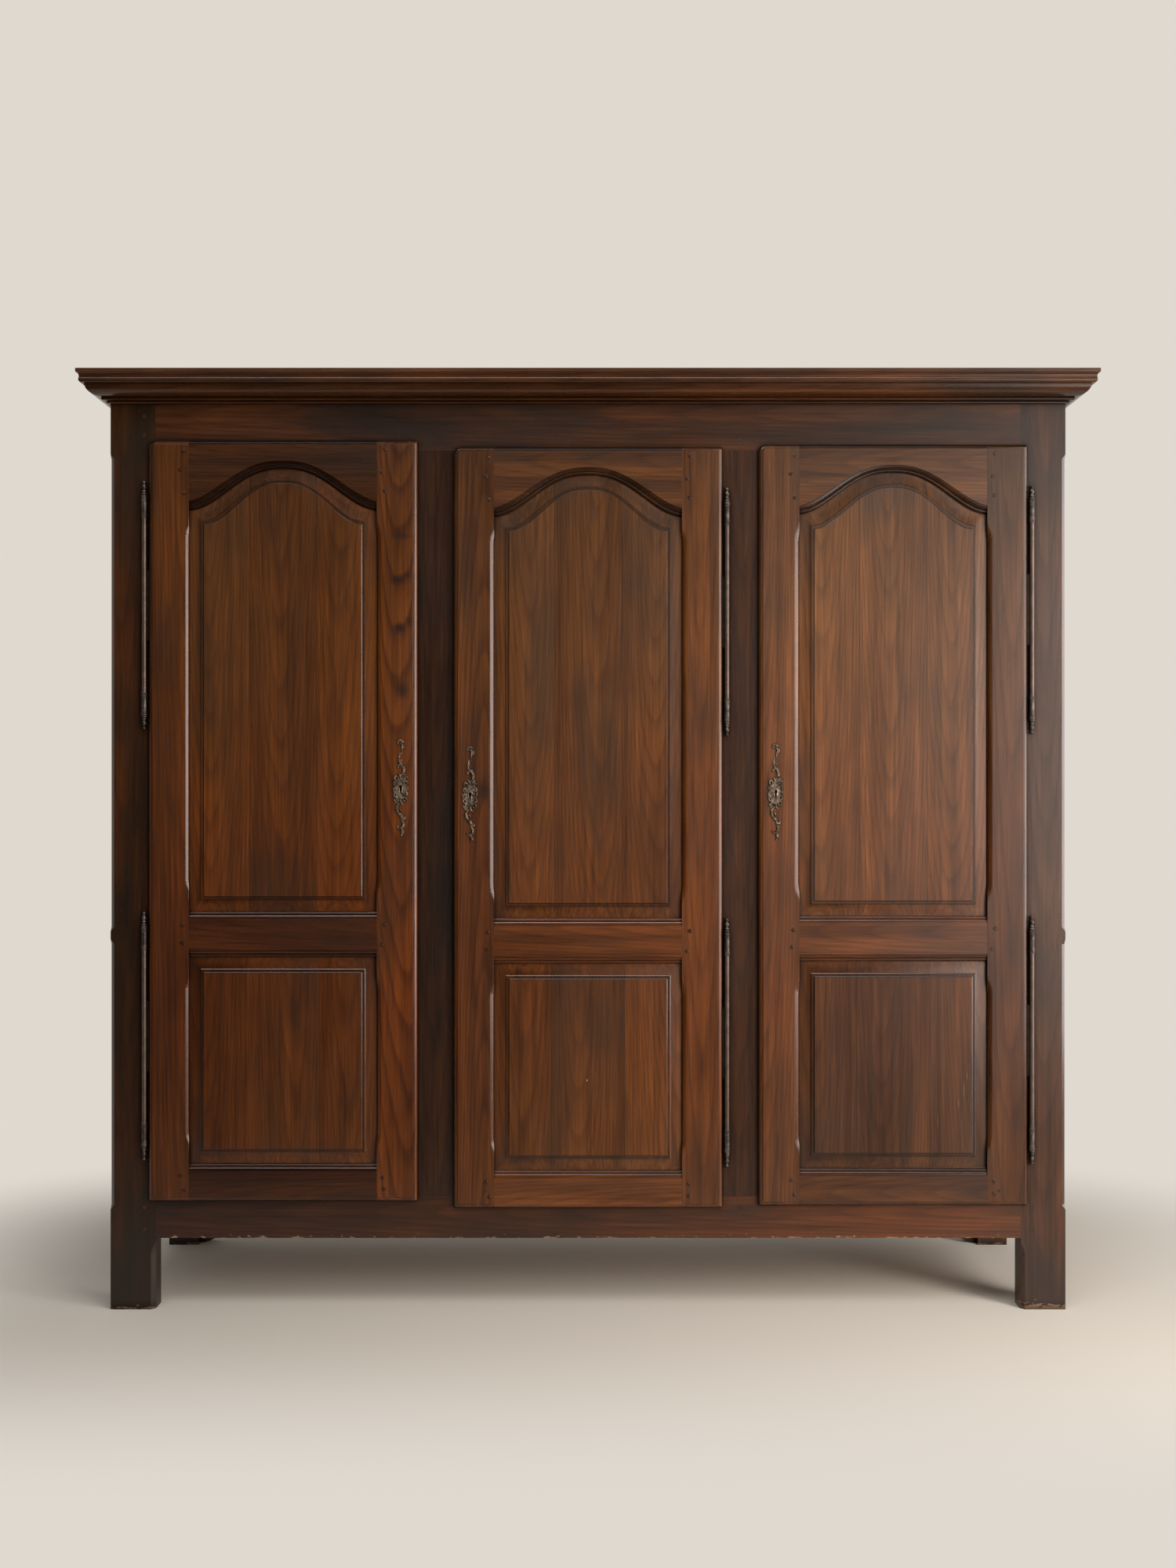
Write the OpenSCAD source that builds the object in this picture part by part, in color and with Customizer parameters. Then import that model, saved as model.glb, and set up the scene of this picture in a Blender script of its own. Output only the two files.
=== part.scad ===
// Three-door wardrobe of joined frame-and-panel work, standing on its own posts.
// Frame of the part: millimetres, +Z up, doors toward -Y, origin on the floor under the
// middle of the whole outline. Members meet in mortise and tenon joints, panels float in
// grooves, and the lipped doors hang on long loose-pin hinges with turned finials.

/* [Carcass] */
// Width over the posts
body_w = 2030; // [1700:5:2300]
// Depth from the face of the front posts to the back
body_d = 550; // [480:5:640]
// Height from the floor to the lower edge of the cornice
body_h = 1925; // [1750:5:2100]
// Height of the open space under the bottom rails
foot_h = 152; // [110:1:190]
// Part of the top rails that the cornice covers
cornice_seat = 35; // [30:1:38]

/* [Posts] */
// Width of a front post across the face
post_w = 95; // [80:1:115]
// Thickness of a front post from front to back
post_t = 50; // [44:1:60]
// Width of a back post
back_post_w = 70; // [60:1:85]
// Thickness of a back post
back_post_t = 45; // [42:1:55]
// Width of the stopped chamfer on a post's outer corner
post_chamfer = 7.5; // [5:0.5:10]
// Width of the chamfer on a front foot's inner corner
foot_chamfer = 9; // [6:0.5:12]

/* [Front frame] */
// Thickness of the front rails and mullions
frame_t = 30; // [29:0.5:38]
// Width of a mullion between two doors
mullion_w = 101; // [90:1:120]
// Height of the bottom rails
bottom_rail_h = 88; // [75:1:110]
// Part of the top rail that shows under the cornice
head_h = 99; // [85:1:120]

/* [Sides, back, floor and top] */
// Thickness of the side rails
side_rail_t = 28; // [26:0.5:34]
// Thickness of the back rails
back_rail_t = 28; // [24:0.5:34]
// Height of the middle rail of a side or the back
cross_rail_h = 98; // [80:1:120]
// Thickness of a back board
back_board_t = 12; // [10:0.5:14]
// Thickness of a floor board
floor_t = 18; // [15:0.5:22]
// Drop of the floor below the upper edge of the bottom rails
floor_drop = 8; // [6:0.5:12]
// Thickness of a top board
top_t = 16; // [12:0.5:20]
// Usual width of a floor, top or back board
board_w = 145; // [110:5:190]
// Width of the shaped drop at each end of the back's bottom rail
bracket_w = 110; // [80:1:140]

/* [Cornice] */
// Reach of the cornice past the posts
cornice_out = 58; // [50:1:66]
// Height of the cornice
cornice_h = 63; // [60:1:72]
// Width of the rebate that lies on top of the posts
cornice_lip = 25; // [20:1:30]

/* [Doors] */
// Overlap of a door on its posts, each side
lap_side = 12; // [10:0.5:15]
// Mean overlap of a door above and below its opening
lap_end = 14; // [12:0.5:18]
// Thickness of the lip that stands proud of the frame
lip_t = 12; // [11:0.5:15]
// Thickness of the block behind the lip, inside the opening
rabbet_t = 13; // [12:0.5:14]
// Height of the left door above its nominal place
left_lift = 6; // [-8:1:8]
// Height of the middle door above its nominal place
middle_lift = -8; // [-8:1:8]
// Height of the right door above its nominal place
right_lift = -3; // [-8:1:8]
// Width of a door stile
stile_w = 86; // [78:1:96]
// Height of a door's bottom rail up to its panel
door_bottom_h = 80; // [70:1:95]
// Height of the lower panel between its rails
lower_panel_h = 437; // [380:1:500]
// Height of a door's middle rail between its panels
middle_rail_h = 98; // [85:1:115]
// Height of a door's top rail over the crown of the arch
crown_h = 60; // [54:1:75]
// Rise of the arch from its ends to its crown
arch_rise = 88; // [60:1:110]
// Fullness of the arch's crown, where 1 gives a plain wave
arch_full = 1.22; // [1:0.02:1.4]
// Radius of the upper left corner of each door
corner_r = 16; // [12:1:18]

/* [Door mouldings] */
// Width of the moulding on the inner edge of a door rail
moulding_w = 16; // [14:0.5:18]
// Depth of the panel groove below the face
panel_sink = 9; // [8:0.25:10]
// Thickness of a panel's tongue
tongue_t = 6.5; // [5:0.25:8]
// Depth of the panel grooves
groove_d = 11; // [9:0.5:12]
// Width of the bevel round a panel's field
bevel_w = 24; // [20:1:34]
// Width of the rounding on a stile's inner corner
stile_chamfer = 12; // [8:0.5:14]
// Width of the moulded edge of a door
edge_w = 9; // [7:0.5:9.5]

/* [Hinges] */
// Length of a hinge over its finials
hinge_len = 528; // [440:1:560]
// Distance from a door's end to the end of its hinge
hinge_inset = 86; // [70:1:110]
// Distance from a door's edge to the hinge axis
hinge_out = 10; // [9:0.5:12]
// Distance of the hinge axis in front of the frame
hinge_off = 6.5; // [6.5:0.25:8]
// Radius of the hinge pin
pin_r = 3; // [2.5:0.1:3.2]
// Radius of the long barrel on the door
rod_r = 4.9; // [4.8:0.1:5.3]
// Length of a frame knuckle
knuckle_l = 42; // [36:1:50]
// Length of a turned finial
finial_l = 34; // [30:1:38]
// Thickness of the hinge leaves
leaf_t = 2; // [1.5:0.1:2.5]
// Depth of a leaf in the wood
leaf_d = 22; // [18:0.5:24]
// Length of the leaf on the door
leaf_l = 150; // [100:5:200]

/* [Locks] */
// Distance from a door's edge to its keyhole
key_edge = 35; // [34:1:40]
// Height of the keyhole above the door's lower end
key_z = 875; // [780:1:960]
// Width of the lock case
lock_w = 62; // [56:1:64]
// Height of the lock case
lock_h = 92; // [84:1:110]
// Thickness of the lock case
lock_t = 15; // [14:0.5:15.5]
// Thickness of the lock case's walls
lock_wall = 2; // [1.5:0.25:2.5]
// Thickness of the bolt
bolt_t = 8; // [7:0.25:8.5]
// Height of the bolt
bolt_h = 20; // [16:0.5:24]
// Travel of the bolt
bolt_throw = 10; // [8:0.5:12]
// Height of an escutcheon over its leaves
escutcheon_h = 200; // [170:1:220]
// Width of an escutcheon's cartouche
escutcheon_w = 29; // [26:0.5:32]
// Thickness of an escutcheon's plate
escutcheon_t = 2.4; // [2:0.1:3]

/* [Inside] */
// Thickness of the partition
partition_t = 20; // [18:0.5:25]
// Thickness of the shelves
shelf_t = 20; // [18:0.5:25]
// Height of the hat shelf above the floor boards
hat_shelf_z = 1400; // [1250:5:1420]
// Number of shelves in the left bay
shelf_count = 4; // [3:1:5]
// Height of a shelf bearer
bearer_h = 32; // [25:1:45]
// Height of the bearers that carry the hanging rail
rail_bearer_h = 90; // [80:1:110]
// Radius of the hanging rail
rail_r = 14; // [11:0.5:16]

/* [Joints] */
// Thickness of the tenons in the carcass
tenon_t = 10; // [8:0.5:11]
// Length of the tenons in the carcass
tenon_l = 34; // [28:1:38]
// Length of the tenons in the doors
door_tenon_l = 45; // [35:1:55]
// Radius of the wooden pegs
peg_r = 4.2; // [3.5:0.1:5]
// Play of a tenon, tongue or peg in its hole, each side
fit = 0.2; // [0.1:0.05:0.3]
// Gap between a closed door and the frame
door_gap = 0.5; // [0.4:0.1:1]
// Gap round a door's block inside its opening
block_gap = 2; // [1.5:0.25:3]
// Radial play of a hinge pin
pin_play = 0.08; // [0.05:0.01:0.1]
// End play between hinge knuckles
knuckle_play = 0.4; // [0.3:0.05:0.6]
// Play round a sliding bolt
bolt_play = 0.4; // [0.3:0.05:0.5]

/* [Hidden] */
$fn = 48;
eps = 0.02;
// Distance from a rail to the stop of a stile's chamfer, and the length of its run-out
stile_stop = 24;
stile_run = 36;
post_run = 14;
foot_run = 30;
// Segments along the arch of a door, not a multiple of four, so that no three points lie in line
arch_steps = 30;
// Segments in a run-out of a stopped chamfer
stop_steps = 7;
// Segments in a small round of a moulding
round_steps = 5;

// Carcass lines
side_x = body_w / 2;
front_y = (cornice_out - body_d) / 2;
back_y = front_y + body_d;
post_in = side_x - post_w;
post_back_y = front_y + post_t;
back_post_in = side_x - back_post_w;
back_post_y = back_y - back_post_t;
post_top = body_h + cornice_seat;
frame_back_y = front_y + frame_t;
side_in = side_x - side_rail_t;
back_rail_y = back_y - back_rail_t;
open_z0 = foot_h + bottom_rail_h;
open_z1 = body_h - head_h;
open_h = open_z1 - open_z0;
open_w = (body_w - 2 * post_w - 2 * mullion_w) / 3;
pitch_x = open_w + mullion_w;
mullion_x = pitch_x / 2;
floor_z = open_z0 - floor_drop;

// Doors
door_w = open_w + 2 * lap_side;
door_h = open_h + 2 * lap_end;
door_half = door_w / 2;
panel_half = door_half - stile_w;
block_half = open_w / 2 - block_gap;
lifts = [left_lift, middle_lift, right_lift];
// Hinge side of each door: -1 is its left edge, 1 its right edge
hinge_sides = [-1, 1, 1];
door_names = ["left", "middle", "right"];
lower_z0 = door_bottom_h;
lower_z1 = lower_z0 + lower_panel_h;
upper_z0 = lower_z1 + middle_rail_h;
upper_crown = door_h - crown_h;
upper_spring = upper_crown - arch_rise;
cross_rail_z = open_z0 - lap_end + lower_z1;

// Edge of a door: a small step down from the face, then a quarter round
edge_step = 1.2;
edge_flat = 2.3;

// Tenons are set back from the panel edges by the groove and a little more
haunch = groove_d + 3;
peg_inset = 23;
// Depth of the groove that holds the floor boards; the pegs stop short of it
ledge_d = 10;
peg_l = frame_t - ledge_d - 0.5;

// Hinges
ring_r = 6;
barrel_wall_start = pin_r + pin_play + 0.8;
door_leaf_d = 28;

// Locks
key_local_x = door_half - key_edge;
bolt_y = rabbet_t + lock_t / 2 + 0.5;
bolt_rise = 20;
lock_rise = 6;
key_pin_r = 1.4;
bolt_l = 46;
strike_t = 1.6;
strike_h = 74;
keyhole_r = 3;
keyhole_h = 15.6;
keyhole_slot = 3.2;

// Inside
shelf_gap = 2;
bearer_t = 20;
housing_d = 8;
rail_drop = 52;
socket_r = rail_r + 9;
socket_t = 12;
partition_x = -mullion_x;

// Colours of the woods and metals
frame_wood = [0.29, 0.21, 0.16];
door_wood = [0.38, 0.24, 0.14];
panel_wood = [0.34, 0.22, 0.14];
inner_wood = [0.55, 0.42, 0.28];
iron = [0.16, 0.14, 0.13];
bronze = [0.36, 0.30, 0.20];

// Place of door d along X, and the height of its lower end
function door_x(d) = (d - 1) * pitch_x;
function door_z(d) = open_z0 - lap_end + lifts[d];
function hinge_x(d) = door_x(d) + hinge_sides[d] * (door_half + hinge_out);
// Lower end of a door's lower (0) or upper (1) hinge
function hinge_z(d, k) =
    door_z(d) + (k == 0 ? hinge_inset : door_h - hinge_inset - hinge_len);

// Smooth step from 0 to 1
function ease(t) = (1 - cos(180 * t)) / 2;

// Height of an arch, from 0 at its ends, where t is -1 and 1, to 1 at its crown
function arch_at(t) = 1 - ease(pow(abs(t), arch_full));

// Points of an elliptical arc about a centre, from angle a0 to a1
function arc(cx, cy, rx, ry, a0, a1, n) =
    [for (i = [0:n]) let (a = a0 + (a1 - a0) * i / n) [cx + rx * cos(a), cy + ry * sin(a)]];

// Outline of a panel opening grown or shrunk by an inset, with an arched head
function arched_ring(half, z0, z1, rise, inset) = concat(
    [[-(half - inset), z0 + inset], [half - inset, z0 + inset]],
    [for (i = [0:arch_steps]) let (t = 1 - 2 * i / arch_steps)
        [t * (half - inset), z1 - inset + rise * arch_at(t)]]
);

// Outline of a rectangular panel opening grown or shrunk by an inset
function square_ring(half, z0, z1, inset) = [
    [-(half - inset), z0 + inset], [half - inset, z0 + inset],
    [half - inset, z1 - inset], [-(half - inset), z1 - inset]
];

// Solid through a stack of outlines of equal length, each [points, y], from front to back.
// Each outline is seen whole from its first point, so that a fan closes the two ends.
module loft(rings) {
    n = len(rings[0][0]);
    m = len(rings);
    points = [for (r = rings) for (p = r[0]) [p[0], r[1], p[1]]];
    sides = [for (k = [0:m - 2]) for (i = [0:n - 1])
        let (a = k * n + i, b = k * n + (i + 1) % n)
        for (f = [[a, b, b + n], [a, b + n, a + n]]) f];
    front = [for (i = [1:n - 2]) [0, i + 1, i]];
    back = [for (i = [1:n - 2]) let (a = (m - 1) * n) [a, a + i, a + i + 1]];
    polyhedron(points = points, faces = concat(front, sides, back), convexity = 6);
}

// Extrudes an outline drawn as [x, z] through a span of y
module slab(y0, y1) {
    translate([0, y1, 0]) rotate([90, 0, 0]) linear_extrude(y1 - y0) children();
}

// Extrudes an outline drawn as [y, z] through a span of x
module run(x0, x1) {
    translate([x0, 0, 0]) rotate([90, 0, 90]) linear_extrude(x1 - x0) children();
}

module block(low, high) {
    translate(low) cube(high - low);
}

// Cutter for a stopped chamfer on a corner along Z that faces +X and -Y
module stop_chamfer(z0, z1, wide, deep, run_out) {
    reach = norm([wide, deep]);
    depth = wide * deep / reach;
    lead = [for (i = [0:stop_steps]) [-depth * ease(i / stop_steps), z0 + run_out * i / stop_steps]];
    tail = [for (i = [0:stop_steps])
        [-depth * ease(1 - i / stop_steps), z1 - run_out * (1 - i / stop_steps)]];
    rotate([0, 0, atan2(-wide, deep)]) rotate([90, 0, 0])
        linear_extrude(2 * reach, center = true)
            polygon(concat([[reach, z0]], lead, tail, [[reach, z1]]));
}

// Levels of the moulding on a door rail, as [inset from the panel edge, depth below the face]
moulding_levels = concat(
    [[-moulding_w, 0], [-moulding_w, 1.2]],
    [for (i = [0:round_steps]) let (a = 90 * i / round_steps)
        [-moulding_w + 0.4 + (moulding_w - 8.4) * sin(a), 1.3 + 4.4 * (1 - cos(a))]],
    [for (i = [1:round_steps]) let (a = 180 * i / (round_steps + 1))
        [-8 + 2.6 * (1 - cos(a)), 5.7 - 1.1 * sin(a)]],
    [[-2.6, 5.9], [-1.4, panel_sink - 0.3], [0, panel_sink]]
);

// Levels of a fielded panel's face, as [inset from the panel edge, depth below the face]
panel_levels = [
    [-groove_d + 1.5, panel_sink + fit], [0.6, panel_sink + fit],
    [bevel_w, panel_sink - 5.2], [bevel_w + 1.2, panel_sink - 6.7],
    [bevel_w + 6.6, panel_sink - 6.7], [bevel_w + 8, panel_sink - 8.2]
];
panel_back = panel_sink + tongue_t - fit;

// Fielded panel with an arched head, its frame's face at y = 0
module arched_panel(half, z0, z1, rise) {
    loft(concat(
        [for (i = [len(panel_levels) - 1:-1:0])
            [arched_ring(half, z0, z1, rise, panel_levels[i][0]), panel_levels[i][1]]],
        [[arched_ring(half, z0, z1, rise, panel_levels[0][0]), panel_back]]
    ));
}

// Fielded rectangular panel, its frame's face at y = 0
module square_panel(half, z0, z1) {
    loft(concat(
        [for (i = [len(panel_levels) - 1:-1:0])
            [square_ring(half, z0, z1, panel_levels[i][0]), panel_levels[i][1]]],
        [[square_ring(half, z0, z1, panel_levels[0][0]), panel_back]]
    ));
}

// Section of the moulding on a straight door rail, cut away above z
module moulding_section(z) {
    polygon(concat(
        [for (p = moulding_levels) [p[1] - lip_t, z + p[0]]],
        [[panel_sink - lip_t, z + 1], [-lip_t - 1, z + 1], [-lip_t - 1, z - moulding_w]]
    ));
}

// Moves a door's own frame to its place: x from its middle, y from its lip's back, z from its foot
module at_door(d) {
    translate([door_x(d), front_y - door_gap, door_z(d)]) children();
}

// Half outline of the lip's moulded edge, as [distance from the edge, y]
edge_points = concat(
    [[0, 0]],
    arc(edge_w - 0.5, -edge_flat, edge_w - 0.5, lip_t - edge_step - edge_flat, 180, 270, round_steps + 1),
    [[edge_w, edge_step - lip_t], [edge_w, -lip_t]]
);

// Whole outline of a door before it is divided into its members: a moulded lip over a block
module door_blank(d) {
    block_z0 = open_z0 + block_gap - door_z(d);
    block_z1 = open_z1 - block_gap - door_z(d);
    n = len(edge_points);
    intersection() {
        linear_extrude(door_h) polygon(concat(
            [for (p = edge_points) [door_half - p[0], p[1]]],
            [for (i = [n - 1:-1:0]) [edge_points[i][0] - door_half, edge_points[i][1]]],
            [[-block_half, 0], [-block_half, rabbet_t], [block_half, rabbet_t], [block_half, 0]]
        ));
        run(-door_half, door_half) polygon(concat(
            [for (p = edge_points) [p[1], door_h - p[0]]],
            [for (i = [n - 1:-1:0]) [edge_points[i][1], edge_points[i][0]]],
            [[0, block_z0], [rabbet_t, block_z0], [rabbet_t, block_z1], [0, block_z1]]
        ));
    }
}

// Door outline with its upper left corner rounded
module rounded_blank(d) {
    difference() {
        door_blank(d);
        block([-door_half - 1, -lip_t - 1, door_h - corner_r], [-door_half + corner_r, 0, door_h + 1]);
    }
    translate([-door_half + corner_r, 0, door_h - corner_r]) rotate([-90, 0, 0])
        rotate_extrude()
            polygon(concat([[0, 0]], [for (p = edge_points) [corner_r - p[0], p[1]]], [[0, -lip_t]]));
}

// Heights of the tenons of a door's rails: bottom, middle and top
function door_tenon(i) =
    i == 0 ? [lap_end + 20, lower_z0 - haunch]
    : i == 1 ? [lower_z1 + haunch, upper_z0 - haunch]
    : [upper_spring + haunch, door_h - lap_end - 24];
door_tenon_y = panel_sink - lip_t;

// Tenons at both ends of a door rail, grown by the play where they are cut from a stile
module door_tenons(i, play) {
    z = door_tenon(i);
    for (s = [-1, 1]) {
        x0 = s > 0 ? panel_half - eps : -panel_half - door_tenon_l - play;
        x1 = s > 0 ? panel_half + door_tenon_l + play : -panel_half + eps;
        block([x0, door_tenon_y - play, z[0] - play], [x1, door_tenon_y + tongue_t + play, z[1] + play]);
    }
}

// Groove for the panels' tongues
module stile_grooves(s) {
    x0 = s > 0 ? panel_half - eps : -panel_half - groove_d;
    x1 = s > 0 ? panel_half + groove_d : -panel_half + eps;
    for (z = [[lower_z0, lower_z1], [upper_z0, upper_spring]])
        block([x0, door_tenon_y, z[0] - groove_d], [x1, door_tenon_y + tongue_t, z[1] + groove_d]);
}

// Facets that round a stile's inner corner: shares of its width and depth, and a later start
corner_facets = [[1, 0.36, 0], [0.72, 0.72, 5], [0.4, 1, 9]];

// Stopped rounding of a stile's inner corner, one run beside each panel
module stile_chamfers(s) {
    for (z = [[lower_z0 + stile_stop, lower_z1 - stile_stop],
              [upper_z0 + stile_stop, upper_spring - stile_stop / 2]])
        for (f = corner_facets)
            mirror([s > 0 ? 1 : 0, 0, 0]) translate([-panel_half, -lip_t, 0])
                stop_chamfer(z[0] + f[2], z[1] - f[2], f[0] * stile_chamfer,
                             f[1] * (panel_sink - 1), stile_run);
}

// One stile of door d on side s, with its grooves, mortises and chamfers
module stile(d, s) {
    difference() {
        intersection() {
            rounded_blank(d);
            block([s > 0 ? panel_half : -door_half - 1, -lip_t - 1, -1],
                  [s > 0 ? door_half + 1 : -panel_half, rabbet_t + 1, door_h + 1]);
        }
        stile_grooves(s);
        for (i = [0:2]) door_tenons(i, fit);
        stile_chamfers(s);
    }
}

module hinge_stile(d) {
    s = hinge_sides[d];
    leaf_y = door_gap - hinge_off;
    color(door_wood) at_door(d) difference() {
        stile(d, s);
        mirror([s < 0 ? 1 : 0, 0, 0]) for (k = [0, 1]) {
            z = hinge_z(d, k) - door_z(d) + (hinge_len - leaf_l) / 2;
            block([door_half - door_leaf_d - fit, leaf_y - leaf_t / 2 - fit, z - fit],
                  [door_half + 1, leaf_y + leaf_t / 2 + fit, z + leaf_l + fit]);
        }
    }
}

// Keyhole outline about its round, in [x, z]
module keyhole_outline(grow) {
    circle(keyhole_r + grow);
    translate([-keyhole_slot / 2 - grow, keyhole_r - keyhole_h - grow])
        square([keyhole_slot + 2 * grow, keyhole_h - keyhole_r + 2 * grow]);
}

module lock_stile(d) {
    s = -hinge_sides[d];
    color(door_wood) at_door(d) difference() {
        stile(d, s);
        translate([s * key_local_x, 0, key_z]) slab(-lip_t - 1, rabbet_t + 1) keyhole_outline(0.5);
    }
}

module door_top_rail(d) {
    color(door_wood) at_door(d) difference() {
        union() {
            intersection() {
                rounded_blank(d);
                block([-panel_half, -lip_t - 1, upper_spring - 1], [panel_half, rabbet_t + 1, door_h + 1]);
            }
            door_tenons(2, 0);
        }
        loft(concat(
            [[arched_ring(panel_half, upper_z0, upper_spring, arch_rise, -moulding_w), -lip_t - 1]],
            [for (p = moulding_levels)
                [arched_ring(panel_half, upper_z0, upper_spring, arch_rise, p[0]), p[1] - lip_t]],
            [[arched_ring(panel_half, upper_z0, upper_spring, arch_rise, 0), rabbet_t + 1]]
        ));
        slab(door_tenon_y, door_tenon_y + tongue_t) intersection() {
            polygon(arched_ring(panel_half, upper_z0, upper_spring, arch_rise, -groove_d));
            translate([-panel_half, upper_z0]) square([2 * panel_half, door_h]);
        }
    }
}

module door_middle_rail(d) {
    color(door_wood) at_door(d) difference() {
        union() {
            block([-panel_half, -lip_t, lower_z1], [panel_half, rabbet_t, upper_z0]);
            door_tenons(1, 0);
        }
        run(-panel_half, panel_half) moulding_section(upper_z0);
        run(-panel_half, panel_half) translate([0, 2 * lower_z1]) mirror([0, 1]) moulding_section(lower_z1);
        for (z = [lower_z1 - 1, upper_z0 - groove_d])
            block([-panel_half, door_tenon_y, z], [panel_half, door_tenon_y + tongue_t, z + groove_d + 1]);
    }
}

module door_bottom_rail(d) {
    color(door_wood) at_door(d) difference() {
        union() {
            intersection() {
                door_blank(d);
                block([-panel_half, -lip_t - 1, -1], [panel_half, rabbet_t + 1, lower_z0]);
            }
            door_tenons(0, 0);
        }
        run(-panel_half, panel_half) moulding_section(lower_z0);
        block([-panel_half, door_tenon_y, lower_z0 - groove_d],
              [panel_half, door_tenon_y + tongue_t, lower_z0 + 1]);
    }
}

module door_upper_panel(d) {
    color(panel_wood) at_door(d) translate([0, -lip_t, 0])
        arched_panel(panel_half, upper_z0, upper_spring, arch_rise);
}

module door_lower_panel(d) {
    color(panel_wood) at_door(d) translate([0, -lip_t, 0])
        square_panel(panel_half, lower_z0, lower_z1);
}

// Leafy stem of an escutcheon as a ribbon from the cartouche to its curl, in [x, z]
stem_steps = 22;
stem_l = escutcheon_h / 2 - 24;
function stem_x(t) = 5.5 * sin(330 * t) * (1 - 0.2 * t);
function stem_half(t) = 5.6 - 2.6 * t + 1.5 * sin(180 * min(1, 2.6 * t));
module stem_outline() {
    polygon(concat(
        [for (i = [0:stem_steps]) let (t = i / stem_steps) [stem_x(t) - stem_half(t), 18 + stem_l * t]],
        [for (i = [stem_steps:-1:0]) let (t = i / stem_steps) [stem_x(t) + stem_half(t), 18 + stem_l * t]]
    ));
    translate([stem_x(1) + 2.2, 18 + stem_l]) circle(5.4);
    translate([stem_x(0.42) + 6, 18 + stem_l * 0.36]) polygon(arc(0, 0, 4.2, 8, 0, 345, 16));
    translate([stem_x(0.72) - 5, 18 + stem_l * 0.66]) polygon(arc(0, 0, 3.6, 7, 0, 345, 16));
}

module escutcheon_outline() {
    polygon(arc(0, 0, escutcheon_w / 2, 26, 0, 350, 36));
    stem_outline();
    mirror([1, 0]) mirror([0, 1]) stem_outline();
}

module door_escutcheon(d) {
    s = -hinge_sides[d];
    rim = 3;
    color(bronze) at_door(d) translate([s * key_local_x, -lip_t, key_z]) difference() {
        union() {
            slab(-escutcheon_t, 0) escutcheon_outline();
            slab(-escutcheon_t - 1.6, -escutcheon_t + eps) difference() {
                polygon(arc(0, 0, escutcheon_w / 2 - 1, 24, 0, 350, 36));
                polygon(arc(0, 0, escutcheon_w / 2 - 1 - rim, 24 - rim, 0, 350, 36));
            }
            for (s2 = [-1, 1]) slab(-escutcheon_t - 2.4, 0)
                translate([s2 * (stem_x(1) + 2.2), s2 * (18 + stem_l)]) circle(3.4);
        }
        slab(-escutcheon_t - 3, 1) keyhole_outline(0);
    }
}

// Bar of the bolt's section between two places along x, grown by a play
module bolt_block(x0, x1, play) {
    block([x0, bolt_y - bolt_t / 2 - play, key_z + bolt_rise - bolt_h / 2 - play],
          [x1, bolt_y + bolt_t / 2 + play, key_z + bolt_rise + bolt_h / 2 + play]);
}

// Rim lock on the back of the lock stile: a hollow case with a key pin and a slot for the bolt
module door_lock_case(d) {
    s = -hinge_sides[d];
    low = [block_half - lock_w, rabbet_t, key_z - lock_h / 2 + lock_rise];
    high = [block_half, rabbet_t + lock_t, key_z + lock_h / 2 + lock_rise];
    wall = [lock_wall, lock_wall, lock_wall];
    color(iron) at_door(d) mirror([s < 0 ? 1 : 0, 0, 0]) {
        difference() {
            block(low, high);
            block(low + wall, high - wall);
            bolt_block(block_half - lock_wall - 1, block_half + 1, bolt_play);
            translate([key_local_x, 0, key_z])
                slab(rabbet_t - 1, rabbet_t + lock_wall + 1) keyhole_outline(0.3);
        }
        translate([key_local_x, 0, key_z]) slab(rabbet_t + 1, high[1] - lock_wall / 2) circle(key_pin_r);
    }
}

// Sliding bolt, drawn back, with the notch that the key's bit moves
module door_lock_bolt(d) {
    s = -hinge_sides[d];
    color(iron) at_door(d) mirror([s < 0 ? 1 : 0, 0, 0]) difference() {
        bolt_block(block_half - bolt_l, block_half, 0);
        translate([key_local_x, 0, key_z + bolt_rise - bolt_h / 2])
            slab(bolt_y - bolt_t, bolt_y + bolt_t) circle(5);
    }
}

// Turned rings at one end of a barrel: a round collar and a smaller bead, stacked upward
module collars(z, up) {
    for (r = [[0, 2.6, ring_r], [3.2, 1.6, ring_r - 0.5]])
        translate([0, 0, z + up * (r[0] + r[1] / 2)]) rotate_extrude()
            translate([r[2] - r[1] / 2, 0]) circle(r[1] / 2);
}

// Long barrel of a hinge between its two knuckles, with its leaf toward side s
module hinge_barrel(s) {
    z0 = finial_l + knuckle_l + knuckle_play;
    z1 = hinge_len - z0;
    difference() {
        union() {
            translate([0, 0, z0]) cylinder(r = rod_r, h = z1 - z0);
            collars(z0, 1);
            collars(z1, -1);
            x0 = s > 0 ? barrel_wall_start : -hinge_out - door_leaf_d;
            x1 = s > 0 ? hinge_out + door_leaf_d : -barrel_wall_start;
            block([x0, -leaf_t / 2, (hinge_len - leaf_l) / 2], [x1, leaf_t / 2, (hinge_len + leaf_l) / 2]);
        }
        translate([0, 0, z0 - 1]) cylinder(r = pin_r + pin_play, h = z1 - z0 + 2);
    }
}

module door_hinge_barrels(d) {
    color(iron) for (k = [0, 1])
        translate([hinge_x(d), front_y - hinge_off, hinge_z(d, k)]) hinge_barrel(-hinge_sides[d]);
}

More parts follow.
